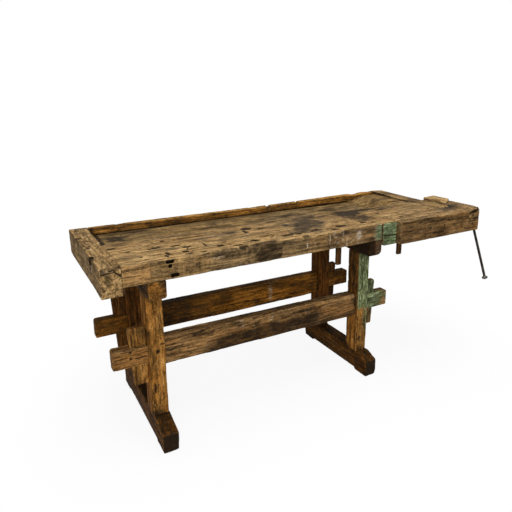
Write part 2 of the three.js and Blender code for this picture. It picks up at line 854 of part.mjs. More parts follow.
const postTenons = (row, gap) =>
  block(
    wider([postTenonCheek, trestleWidth - postTenonCheek], gap),
    wider(postYs[row], gap - postTenonShoulder),
    wider([footHeight - postTenonLength, bearerZ + postTenonLength], gap),
  );
const framePeg = (side, row, place, gap) =>
  rodX(
    framePegDiameter + 2 * gap,
    acrossXs[side][place],
    postYs[row][0] + postDepth / 2,
    framePegZ[place],
    14,
  );

// A bar with upright ends that runs down to the right with its stretcher
function slopingBar(row, [x0, x1], ys, height) {
  const half = height / 2;
  const side = outline([
    [x0, stretcherZ(row, x0) - half],
    [x1, stretcherZ(row, x1) - half],
    [x1, stretcherZ(row, x1) + half],
    [x0, stretcherZ(row, x0) + half],
  ]);
  return prismY(side, ys);
}

const tenonBar = (row, gap) =>
  slopingBar(
    row,
    wider([outerFaces.left, outerFaces.right], tenonReach),
    wider(tenonY(row), gap),
    tenonHeight + 2 * gap,
  );

function cutForPosts(timber, side, place) {
  let cut = timber;
  for (const row of Object.keys(postYs)) {
    cut = cut.subtract(postTenons(row, jointFit)).subtract(framePeg(side, row, place, jointFit));
  }
  return cut;
}

function foot(side) {
  const front = postYs.front[0] - footOverhangs[side].front;
  const rear = postYs.rear[1] + footOverhangs[side].rear;
  const profile = outline([
    [front, 0],
    [front + footPad, 0],
    [front + footPad + footRelief, footRelief],
    [rear - footPad - footRelief, footRelief],
    [rear - footPad, 0],
    [rear, 0],
    [rear, footEndHeight],
    [postYs.rear[1], footHeight],
    [postYs.front[0], footHeight],
    [front, footEndHeight],
  ]);
  return cutForPosts(prismX(profile, acrossXs[side].foot), side, "foot");
}

function bearer(side) {
  const stepY = slabDepth + jointFit;
  const profile = new THREE.Shape();
  profile.moveTo(bearerFrontInset + bearerRound, bearerZ);
  profile.lineTo(bearerRear, bearerZ);
  profile.lineTo(bearerRear, trayZ - trayFloorThickness);
  profile.lineTo(stepY, trayZ - trayFloorThickness);
  profile.lineTo(stepY, slabZ);
  profile.lineTo(bearerFrontInset, slabZ);
  profile.lineTo(bearerFrontInset, bearerZ + bearerRound);
  profile.absarc(bearerFrontInset + bearerRound, bearerZ + bearerRound, bearerRound, Math.PI, Math.PI * 1.5);
  let timber = cutForPosts(prismX(profile, acrossXs[side].bearer), side, "bearer");
  for (const y of dowelYs) {
    timber = timber.subtract(dowel(jointFit, trestleWidth / 2, y));
  }
  return timber;
}

function post(side, row, x) {
  return block([0, postWidth(side, row)], postYs[row], [footHeight, bearerZ])
    .add(postTenons(row, 0))
    .subtract(framePeg(side, row, "foot", jointFit))
    .subtract(framePeg(side, row, "bearer", jointFit))
    .subtract(tenonBar(row, jointFit).translate([-x, 0, 0]));
}

function trestle(side, x) {
  const group = new THREE.Group();
  group.position.set(x, 0, 0);
  group.add(
    piece(`${side}_foot`, foot(side), darkFrameWood),
    piece(`${side}_bearer`, bearer(side), darkFrameWood),
  );
  for (const row of Object.keys(postYs)) {
    group.add(piece(`${side}_${row}_post`, post(side, row, x), darkFrameWood));
    for (const place of Object.keys(framePegZ)) {
      group.add(piece(`${side}_${row}_${place}_peg`, framePeg(side, row, place, 0), pegWood));
    }
  }
  return group;
}

// Stretchers and keys. A key's straight side bears on the post, and its tapered side on the tenon.
const outward = { left: -1, right: 1 };
const keyLift = {
  left: { front: 0, rear: leftRearKeyLift },
  right: { front: -rightFrontKeyDriven, rear: -rightRearKeyDriven },
};
const keyTrim = {
  left: { front: 0, rear: leftRearKeyTrim },
  right: { front: rightKeyTrim, rear: rightKeyTrim },
};

function keyShape(side, row, gap, inside) {
  const face = outerFaces[side];
  const out = outward[side];
  const middle = stretcherZ(row, face) + keyLift[side][row];
  const trim = keyTrim[side][row];
  const low = middle - tenonHeight / 2 - keyBelow;
  const high = middle + tenonHeight / 2 + keyAbove;
  const near = face + out * (jointFit - inside);
  const far = (width) => face + out * (jointFit + width - trim + gap);
  return outline([
    [near, low],
    [far(keyBottomWidth), low],
    [far(keyTopWidth - keyCorner / 4), high - keyCorner],
    [far(keyTopWidth - keyCorner), high],
    [near, high],
  ]);
}

function keySolid(side, row, gap, inside) {
  const middleY = stretcherFront(row) + stretcherThickness / 2;
  return prismY(keyShape(side, row, gap, inside), around(middleY, keyThickness + 2 * gap));
}

function stretcher(row) {
  const shoulders = [leftTrestleX + postWidth("left", row), rightTrestleX];
  return slopingBar(row, shoulders, stretcherY(row), stretcherHeight)
    .add(tenonBar(row, 0))
    .subtract(keySolid("left", row, jointFit, keyDraw))
    .subtract(keySolid("right", row, jointFit, keyDraw));
}

const underframe = new THREE.Group();
underframe.add(trestle("left", leftTrestleX), trestle("right", rightTrestleX));
for (const row of Object.keys(postYs)) {
  underframe.add(piece(`${row}_stretcher`, stretcher(row), darkFrameWood));
  for (const side of Object.keys(outerFaces)) {
    underframe.add(piece(`${side}_${row}_key`, keySolid(side, row, 0, 0), darkFrameWood));
  }
}

// Whole bench, with its origin at the middle of its footprint on the floor
const bench = new THREE.Group();
bench.add(top, vise, underframe);
const extent = new THREE.Box3().setFromObject(bench, true);
const middle = extent.getCenter(new THREE.Vector3());
bench.position.set(-middle.x, -middle.y, -extent.min.z);
bench.updateMatrixWorld(true);

export default bench;
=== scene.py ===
"""Looks of an old joiner's workbench: worn timber, flaking green paint, stains and dark iron.

Every wooden CAD node is replaced by a worn copy of itself: its surface is rebuilt as a fine even mesh,
its edges are rounded by hard use, and pits, gouges and grain are pressed into it. Masks for dirt and
painted shade, paint and bare or stained wood are kept on the vertices and read by the wood materials.
Places are given in millimetres from the bench's lower left front corner: X along the bench from the
outer face of the end cap, Y back from the front of the slab, Z up from the floor.
"""

import json
import math

import bpy
import numpy as np
from mathutils import Matrix, Vector


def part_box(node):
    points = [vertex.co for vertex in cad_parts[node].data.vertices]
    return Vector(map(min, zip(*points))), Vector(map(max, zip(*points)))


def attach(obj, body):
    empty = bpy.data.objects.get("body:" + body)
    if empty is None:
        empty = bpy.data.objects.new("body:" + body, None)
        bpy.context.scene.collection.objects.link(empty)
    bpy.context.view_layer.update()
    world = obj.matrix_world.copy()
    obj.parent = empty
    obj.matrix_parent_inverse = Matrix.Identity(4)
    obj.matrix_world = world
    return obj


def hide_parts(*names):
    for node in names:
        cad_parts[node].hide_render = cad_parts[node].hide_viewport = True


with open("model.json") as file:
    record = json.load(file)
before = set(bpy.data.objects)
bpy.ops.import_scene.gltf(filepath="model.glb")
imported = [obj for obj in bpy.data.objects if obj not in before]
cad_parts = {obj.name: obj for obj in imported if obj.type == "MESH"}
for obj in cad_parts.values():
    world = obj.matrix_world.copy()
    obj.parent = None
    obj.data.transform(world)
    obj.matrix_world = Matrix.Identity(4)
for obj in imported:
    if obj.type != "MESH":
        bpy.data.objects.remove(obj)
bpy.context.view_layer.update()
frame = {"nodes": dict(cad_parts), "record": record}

NODES = frame["nodes"]
BODY_OF = {n: b for b, ns in frame["record"]["behaviour"]["bodies"].items() for n in ns}
CORNER = np.array(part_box("left_end_cap")[0])
CORNER[2] = 0.0
X, Y, Z = 0, 1, 2
TOP_VIEW, FRONT_VIEW, SIDE_VIEW = [X, Y], [X, Z], [Y, Z]


def to_mm(co):
    return (co - CORNER) * 1000.0


def to_m(mm):
    return np.asarray(mm, float) / 1000.0 + CORNER


# Numbers on the mesh

def lattice(i, seed):
    h = (i[..., 0] * 374761393 + i[..., 1] * 668265263 + i[..., 2] * 1442695041 + seed * 1274126177) & 0xFFFFFFFF
    h = ((h ^ (h >> 13)) * 1274126177) & 0xFFFFFFFF
    h = ((h ^ (h >> 16)) * 2246822519) & 0xFFFFFFFF
    return ((h ^ (h >> 15)) & 0xFFFFFF) / float(0xFFFFFF)


def noise(points, size, seed=0, octaves=1):
    """Smooth value noise from 0 to 1; size is the width of a feature, one number or one per axis."""
    total = np.zeros(len(points))
    weight, weights = 1.0, 0.0
    p = points / np.asarray(size, float)
    for octave in range(octaves):
        cell = np.floor(p).astype(np.int64)
        f = p - cell
        f = f * f * (3 - 2 * f)
        value = 0.0
        for corner in range(8):
            step = np.array([corner & 1, corner >> 1 & 1, corner >> 2 & 1])
            w = np.prod(np.where(step, f, 1 - f), axis=1)
            value = value + w * lattice(cell + step, seed + octave * 17)
        total += weight * value
        weights += weight
        weight *= 0.5
        p = p * 2.03
    return total / weights


def smoothstep(low, high, value):
    t = np.clip((value - low) / (high - low), 0, 1)
    return t * t * (3 - 2 * t)


def blob(P, axes, centre, radii, angle=0.0, soft=0.4, ragged=0.5, seed=0):
    """1 inside an ellipse in the plane of two axes, 0 outside, with a soft and ragged rim."""
    a = math.radians(angle)
    d = P[:, axes] - np.asarray(centre, float)
    along = (d[:, 0] * math.cos(a) + d[:, 1] * math.sin(a)) / radii[0]
    across = (-d[:, 0] * math.sin(a) + d[:, 1] * math.cos(a)) / radii[1]
    near = (np.abs(along) < 2.5) & (np.abs(across) < 2.5)
    out = np.zeros(len(P))
    if near.any():
        r = np.hypot(along[near], across[near])
        r = r + ragged * (noise(P[near], max(8.0, 0.5 * min(radii)), seed, 2) - 0.5) * 2
        out[near] = 1 - smoothstep(1 - soft, 1 + soft, r)
    return out


def line(P, axes, start, end, width, seed=0):
    """1 on a mark from start to end that wanders a little, fading to 0 at its rim."""
    s, e = np.asarray(start, float), np.asarray(end, float)
    way = e - s
    d = P[:, axes] - s
    t = np.clip(d @ way / (way @ way), 0, 1)
    off = np.linalg.norm(d - t[:, None] * way, axis=1)
    near = off < 3 * width
    out = np.zeros(len(P))
    if near.any():
        wander = width * (noise(P[near], 14, seed, 2) - 0.5)
        out[near] = 1 - smoothstep(0.35 * width, width, np.abs(off[near] + wander))
    return out


class Surface:
    """A worn copy of one CAD node: points in millimetres, normals and the masks."""

    # the grime channel holds real dirt and also painted shade under, behind and inside things
    CHANNELS = "grime paint bare grey pale warm edge hollow".split()

    def __init__(self, node, voxel):
        self.node = node
        source = NODES[node]
        self.obj = bpy.data.objects.new("worn_" + node, source.data.copy())
        bpy.context.scene.collection.objects.link(self.obj)
        remesh = self.obj.modifiers.new("even", "REMESH")
        remesh.mode = "VOXEL"
        remesh.voxel_size = voxel / 1000.0
        remesh.adaptivity = 0.0
        bpy.context.view_layer.update()
        evaluated = self.obj.evaluated_get(bpy.context.evaluated_depsgraph_get())
        mesh = bpy.data.meshes.new_from_object(evaluated)
        self.obj.modifiers.clear()
        self.obj.data = mesh
        self.mesh = mesh
        self.voxel = voxel
        count = len(mesh.vertices)
        co = np.zeros(count * 3, np.float32)
        mesh.vertices.foreach_get("co", co)
        self.P = to_mm(co.reshape(-1, 3).astype(float))
        edges = np.zeros(len(mesh.edges) * 2, np.int32)
        mesh.edges.foreach_get("vertices", edges)
        self.edges = edges.reshape(-1, 2)
        self.degree = np.maximum(np.bincount(self.edges.ravel(), minlength=count), 1)
        self.low, self.high = self.P.min(0), self.P.max(0)
        self.mask = np.zeros((count, len(self.CHANNELS)), np.float32)
        self.update_normals()

    def update_normals(self):
        self.mesh.vertices.foreach_set("co", to_m(self.P).astype(np.float32).ravel())
        self.mesh.update()
        n = np.zeros(len(self.P) * 3, np.float32)
        self.mesh.vertices.foreach_get("normal", n)
        self.N = n.reshape(-1, 3).astype(float)

    def near_mean(self, values):
        """Mean of a value over each vertex's neighbours."""
        a, b = self.edges.T
        count = len(self.P)
        return (np.bincount(a, values[b], count) + np.bincount(b, values[a], count)) / self.degree

    def relax(self, rounds, amount=0.5):
        for _ in range(rounds):
            mean = np.stack([self.near_mean(self.P[:, k]) for k in range(3)], axis=1)
            self.P += amount * (mean - self.P)

    def round_edge(self, axis_a, face_a, axis_b, face_b, radius):
        """Rounds the edge where two faces meet; a face is 'low' or 'high' on its axis, or (place, sign)."""
        depth = []
        signs = []
        for axis, face in ((axis_a, face_a), (axis_b, face_b)):
            place, sign = face if isinstance(face, tuple) else (
                (self.low[axis], 1) if face == "low" else (self.high[axis], -1))
            depth.append(sign * (self.P[:, axis] - place))
            signs.append(sign)
        r = np.broadcast_to(np.asarray(radius, float), depth[0].shape)
        a, b = r - depth[0], r - depth[1]
        d = np.hypot(a, b)
        hit = (a > 0) & (b > 0) & (d > r) & (depth[0] > -2) & (depth[1] > -2)
        shrink = np.where(hit, r / np.maximum(d, 1e-6), 1.0)
        self.P[hit, axis_a] += (signs[0] * a * (1 - shrink))[hit]
        self.P[hit, axis_b] += (signs[1] * b * (1 - shrink))[hit]

    def round_box(self, least, most, seed, span=70.0):
        """Rounds all twelve edges of the piece's box by a radius that wanders along each edge."""
        for k, (a, b) in enumerate(((X, Y), (X, Z), (Y, Z))):
            for i, face_a in enumerate(("low", "high")):
                for j, face_b in enumerate(("low", "high")):
                    n = noise(self.P, span, seed + 11 * k + 3 * i + j, 3)
                    self.round_edge(a, face_a, b, face_b, least + (most - least) * smoothstep(0.3, 0.75, n) ** 2)

    def press(self, amount):
        """Moves the surface inwards by amount (millimetres, per vertex)."""
        self.P -= self.N * np.asarray(amount).reshape(-1, 1)

    def facing(self, axis, sign, sharp=0.55):
        return smoothstep(sharp - 0.2, sharp + 0.2, sign * self.N[:, axis])

    def add(self, channel, amount):
        c = self.CHANNELS.index(channel)
        self.mask[:, c] = np.maximum(self.mask[:, c], np.asarray(amount))

    def take(self, channel, amount):
        c = self.CHANNELS.index(channel)
        self.mask[:, c] *= 1 - np.clip(np.asarray(amount), 0, 1)

    def feel_edges(self):
        """Fills the edge and hollow masks from how far each vertex stands off its neighbours."""
        mean = np.stack([self.near_mean(self.P[:, k]) for k in range(3)], axis=1)
        bend = ((self.P - mean) * self.N).sum(1)
        bend = self.near_mean(self.near_mean(bend)) / self.voxel
        self.add("edge", smoothstep(0.02, 0.10, bend))
        self.add("hollow", smoothstep(0.02, 0.12, -bend))

    def finish(self, material):
        self.update_normals()
        self.feel_edges()
        for k, name in enumerate(("mask_a", "mask_b")):
            layer = self.mesh.attributes.new(name, "FLOAT_COLOR", "POINT")
            layer.data.foreach_set("color", np.clip(self.mask[:, 4 * k:4 * k + 4], 0, 1).ravel())
        self.mesh.polygons.foreach_set("use_smooth", np.ones(len(self.mesh.polygons), bool))
        self.mesh.materials.clear()
        self.mesh.materials.append(material)
        self.mesh.update()
        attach(self.obj, BODY_OF[self.node])
        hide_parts(self.node)
        return self.obj


# Materials

def rgb(r, g, b):
    """Linear colour from the usual 0 to 255 values."""
    out = []
    for c in (r, g, b):
        c /= 255.0
        out.append(c / 12.92 if c <= 0.04045 else ((c + 0.055) / 1.055) ** 2.4)
    return (*out, 1.0)


class Tree:
    """A short way to write a node material."""

    def __init__(self, name):
        self.material = bpy.data.materials.new(name)
        self.material.use_nodes = True
        self.nodes = self.material.node_tree.nodes
        self.links = self.material.node_tree.links
        self.shader = self.nodes["Principled BSDF"]

    def put(self, socket, value):
        if isinstance(value, bpy.types.NodeSocket):
            self.links.new(value, socket)
        else:
            socket.default_value = value

    def node(self, kind, out=0, settings=None, **inputs):
        n = self.nodes.new("ShaderNode" + kind)
        for key, value in (settings or {}).items():
            setattr(n, key, value)
        for key, value in inputs.items():
            self.put(n.inputs[int(key[1:]) if key[0] == "i" and key[1:].isdigit() else key], value)
        return n.outputs[out]

    def place(self, axis=0, stretch=1.0):
        """Position in the bench's frame, drawn out along one axis."""
        scale = [1.0, 1.0, 1.0]
        scale[axis] = 1.0 / stretch
        return self.node("Mapping", i0=self.node("TexCoord", "Object"), i3=tuple(scale))

    def noise(self, vector, scale, detail=4.0, rough=0.6, twist=0.0):
        return self.node("TexNoise", 0, Vector=vector, Scale=scale, Detail=detail, Roughness=rough, Distortion=twist)

    def math(self, operation, a, b=0.0, clamp=False):
        return self.node("Math", 0, {"operation": operation, "use_clamp": clamp}, i0=a, i1=b)

    def times(self, a, b):
        return self.math("MULTIPLY", a, b)

    def total(self, *weighted):
        """Sum of (value, weight) pairs."""
        value = self.times(*weighted[0])
        for pair in weighted[1:]:
            value = self.math("ADD", value, self.times(*pair))
        return value

    def ease(self, value, low, high, to_low=0.0, to_high=1.0):
        return self.node("MapRange", 0, {"interpolation_type": "SMOOTHSTEP"},
                         i0=value, i1=low, i2=high, i3=to_low, i4=to_high)

    def mix(self, factor, a, b, blend="MIX"):
        n = self.nodes.new("ShaderNodeMix")
        n.data_type = "RGBA"
        n.blend_type = blend
        self.put(n.inputs[0], factor)
        self.put(n.inputs[6], a)
        self.put(n.inputs[7], b)
        return n.outputs[2]

    def ramp(self, value, stops):
        n = self.nodes.new("ShaderNodeValToRGB")
        bar = n.color_ramp.elements
        while len(bar) < len(stops):
            bar.new(0.5)
        for element, (place, colour) in zip(bar, stops):
            element.position = place
            element.color = colour
        self.links.new(value, n.inputs[0])
        return n.outputs[0]

    def masks(self, name):
        """The four numbers that a mask attribute holds."""
        layer = self.nodes.new("ShaderNodeAttribute")
        layer.attribute_name = name
        split = self.nodes.new("ShaderNodeSeparateColor")
        self.links.new(layer.outputs["Color"], split.inputs[0])
        return split.outputs[0], split.outputs[1], split.outputs[2], layer.outputs["Alpha"]


# the colour of dirt, used also for painted shade
GRIME_AND_SHADE = rgb(34, 25, 15)
GREY = rgb(96, 86, 70)
PALE = rgb(190, 178, 156)
GREENS = (rgb(72, 84, 53), rgb(112, 130, 92), rgb(154, 170, 130))


def wood(name, axis, tones, contrast):
    """Old timber with its grain along one axis; tones go from dark to light, then bare and warm wood."""
    dark, middle, light, fresh, orange = tones
    t = Tree(name)
    streak = t.noise(t.place(axis, 16.0), 85.0, 6.0, 0.68, 0.7)
    dash = t.noise(t.place(axis, 5.0), 125.0, 3.0, 0.62, 0.5)
    speck = t.noise(t.place(axis, 1.8), 150.0, 2.0, 0.6)
    blotch = t.noise(t.place(axis, 2.2), 42.0, 6.0, 0.7)
    patch = t.noise(t.place(), 7.5, 7.0, 0.62)
    value = t.total((streak, 0.36), (blotch, 0.36), (patch, 0.28))
    colour = t.ramp(value, [(0.40, dark), (0.475, middle), (0.53, middle), (0.61, light)])
    grime, paint, bare, grey = t.masks("mask_a")
    pale, warm, edge, hollow = t.masks("mask_b")
    colour = t.mix(t.times(warm, t.ease(streak, 0.36, 0.6, 0.4, 0.9)), colour, orange)
    rubbed = t.math("MAXIMUM", bare, t.times(edge, 0.6))
    colour = t.mix(t.times(rubbed, t.ease(value, 0.40, 0.56, 0.1, 0.9)), colour, fresh)
    colour = t.mix(t.times(grey, t.ease(streak, 0.34, 0.62, 0.95, 0.45)), colour, GREY)
    colour = t.mix(t.times(pale, t.ease(blotch, 0.36, 0.6, 0.3, 0.95)), colour, PALE)
    green = t.ramp(t.total((blotch, 0.5), (dash, 0.5)), [(0.38, GREENS[0]), (0.5, GREENS[1]), (0.62, GREENS[2])])
    chips = t.noise(t.place(axis, 3.0), 70.0, 6.0, 0.72, 0.3)
    covered = t.ease(t.total((paint, 1.0), (chips, 1.6)), 1.18, 1.36)
    colour = t.mix(t.times(covered, t.ease(paint, 0.4, 0.95, 0.68, 0.95)), colour, green)
    grain = t.total((streak, 0.38), (dash, 0.36), (speck, 0.26))
    colour = t.mix(1.0, colour, t.ease(grain, 0.42, 0.585, *contrast), "MULTIPLY")
    wander = t.noise(t.place(axis, 45.0), 60.0, 2.0, 0.5, 0.3)
    off = t.math("ABSOLUTE", t.math("SUBTRACT", wander, 0.5))
    crack = t.times(t.ease(off, 0.006, 0.030, 1.0, 0.0), t.ease(patch, 0.5, 0.58))
    spots = t.times(t.ease(speck, 0.60, 0.67), 0.7)
    # dirt and painted shade from the grime mask, and darker hollows
    dirt_and_shade = t.ease(t.total((grime, 1.0), (blotch, 1.3), (dash, 1.1)), 1.28, 2.0)
    dirt_and_shade = t.times(dirt_and_shade, t.ease(grime, 0.02, 0.18, 0.0, 0.96))
    dirt_and_shade = t.math("MAXIMUM", dirt_and_shade, t.times(hollow, 0.6))
    marks = t.math("MAXIMUM", t.math("MAXIMUM", spots, dirt_and_shade), t.times(crack, 0.85))
    colour = t.mix(marks, colour, GRIME_AND_SHADE)
    t.put(t.shader.inputs["Base Color"], colour)
    t.put(t.shader.inputs["Roughness"], t.ease(value, 0.4, 0.6, 0.86, 0.66))
    t.shader.inputs["Specular IOR Level"].default_value = 0.05
    height = t.total((streak, 0.5), (dash, 0.5), (spots, -0.5), (crack, -0.9), (covered, 0.15))
    t.put(t.shader.inputs["Normal"], t.node("Bump", 0, None, Strength=0.5, Distance=0.0025, Height=height))
    return t.material


def iron(name, dark, worn, rough, rust):
    t = Tree(name)
    place = t.place()
    patch = t.noise(place, 60.0, 6.0, 0.7)
    pits = t.noise(place, 420.0, 3.0, 0.6)
    colour = t.mix(t.ease(patch, 0.35, 0.7), dark, worn)
    rusty = t.times(t.ease(t.noise(place, 34.0, 5.0, 0.7), 0.52, 0.7), rust)
    colour = t.mix(rusty, colour, rgb(80, 46, 26))
    t.put(t.shader.inputs["Base Color"], colour)
    t.put(t.shader.inputs["Metallic"], t.ease(rusty, 0.1, 0.8, 0.85, 0.2))
    t.put(t.shader.inputs["Roughness"], t.ease(patch, 0.3, 0.7, rough + 0.15, rough))
    t.put(t.shader.inputs["Normal"], t.node("Bump", 0, None, Strength=0.25, Distance=0.001, Height=pits))
    return t.material


# dark, middle, light, bare and warm wood
TONES = {
    "top": (rgb(92, 66, 34), rgb(154, 122, 78), rgb(190, 156, 106), rgb(196, 162, 110), rgb(164, 114, 62)),
    "tray": (rgb(66, 47, 24), rgb(132, 104, 62), rgb(160, 130, 84), rgb(172, 140, 92), rgb(148, 98, 44)),
    "rail": (rgb(58, 36, 12), rgb(134, 94, 42), rgb(178, 134, 68), rgb(200, 158, 92), rgb(172, 112, 42)),
    "vise": (rgb(72, 50, 26), rgb(136, 107, 69), rgb(172, 140, 94), rgb(184, 150, 102), rgb(158, 108, 54)),
    "frame": (rgb(70, 42, 12), rgb(144, 98, 44), rgb(180, 132, 68), rgb(196, 148, 82), rgb(172, 112, 44)),
    "stretcher": (rgb(62, 44, 24), rgb(126, 92, 54), rgb(166, 128, 80), rgb(182, 144, 94), rgb(164, 112, 54)),
    "amber": (rgb(52, 28, 6), rgb(130, 84, 28), rgb(166, 114, 46), rgb(180, 128, 62), rgb(170, 108, 36)),
    "foot": (rgb(34, 18, 4), rgb(90, 56, 19), rgb(132, 88, 34), rgb(158, 110, 50), rgb(130, 80, 28)),
    # 'dark' is a darker copy of the frame wood; on the rear posts, the rear keys and the right bearer it is painted
    # shade under the top
    "dark": (rgb(30, 15, 4), rgb(80, 47, 16), rgb(122, 79, 31), rgb(138, 94, 42), rgb(120, 72, 25)),
}
# how dark and how light the grain makes the wood
CONTRAST = {"top": (0.44, 1.43), "tray": (0.4, 1.44), "vise": (0.46, 1.4), "stretcher": (0.42, 1.44)}
FRAME_CONTRAST = (0.4, 1.5)
WOODS = {}


def wood_for(kind, axis):
    key = (kind, axis)
    if key not in WOODS:
        contrast = CONTRAST.get(kind, FRAME_CONTRAST)
        WOODS[key] = wood(f"{kind}_wood_{'xyz'[axis]}", axis, TONES[kind], contrast)
    return WOODS[key]


DARK_IRON = iron("dark_iron", rgb(26, 23, 21), rgb(58, 53, 49), 0.45, 0.4)
WORN_STEEL = iron("worn_steel", rgb(40, 35, 31), rgb(122, 114, 106), 0.42, 0.3)
RUSTY_IRON = iron("rusty_iron", rgb(58, 38, 26), rgb(158, 118, 88), 0.5, 0.6)


# Bench top

def weather(s, axis, deep, seed):
    """Raised grain and gentle hollows over a whole piece."""
    size = [26.0, 26.0, 26.0]
    size[axis] = 260.0
    ridge = [9.0, 9.0, 9.0]
    ridge[axis] = 120.0
    s.update_normals()
    s.press(deep * noise(s.P, size, seed, 2) + 0.5 * deep * noise(s.P, ridge, seed + 5, 2))


# pits and gouges of the slab's top: X, Y, half length, half width, depth
SLAB_PITS = [
    (92, 250, 20, 10, 3), (142, 176, 12, 8, 3), (240, 170, 24, 9, 4), (331, 164, 22, 10, 4),
    (366, 126, 18, 10, 4), (272, 78, 7, 20, 5), (258, 50, 6, 14, 5), (170, 84, 7, 7, 4),
    (181, 45, 7, 7, 4), (345, 36, 14, 7, 3), (398, 32, 14, 8, 3), (303, 250, 7, 8, 3),
    (442, 120, 6, 18, 4), (610, 225, 22, 10, 2), (700, 255, 22, 22, 3), (672, 205, 10, 18, 2),
    (765, 225, 22, 10, 2), (1238, 76, 16, 12, 7), (1180, 120, 10, 6, 2), (860, 60, 14, 10, 3),
    (560, 40, 20, 8, 3), (520, 110, 8, 5, 3), (700, 110, 8, 6, 3), (1590, 150, 12, 6, 3),
    (1420, 180, 14, 7, 3), (1660, 232, 9, 5, 2), (1500, 250, 26, 7, 2), (1040, 40, 20, 9, 3),
    (646, 66, 20, 12, 3), (811, 69, 22, 12, 3), (964, 73, 25, 14, 3), (1104, 76, 25, 13, 3), (864, 308, 24, 7, 2),
]
# scars across the slab's top: start, end, width
SLAB_SCARS = [
    ((210, 210), (330, 120), 5), ((380, 140), (340, 60), 5), ((760, 180), (900, 120), 4),
    ((430, 250), (640, 235), 5), ((120, 300), (420, 292), 4), ((1050, 300), (1250, 250), 4),
    ((1340, 300), (1460, 285), 6), ((900, 30), (1060, 55), 5),
]
# dirt along the slab's front: X, Z, half length, half height, strength
FRONT_DIRT = [
    (476, 784, 74, 20, 0.55), (566, 797, 26, 12, 0.75), (640, 796, 40, 10, 0.6), (868, 796, 20, 14, 0.55),
    (820, 752, 70, 26, 0.35), (1250, 730, 60, 16, 0.5), (430, 735, 60, 14, 0.3), (1010, 745, 40, 30, 0.3),
    (1180, 745, 40, 34, 0.3), (330, 765, 40, 24, 0.3),
]
# chalky smears on the slab's front, in the same order
FRONT_SMEARS = [
    (868, 762, 4, 13, 0.7), (990, 766, 2.5, 26, 0.8), (1030, 772, 20, 5, 0.4), (1062, 768, 4, 18, 0.4),
    (1155, 766, 13, 20, 0.85), (455, 775, 26, 4, 0.4), (1085, 745, 3, 20, 0.4),
]


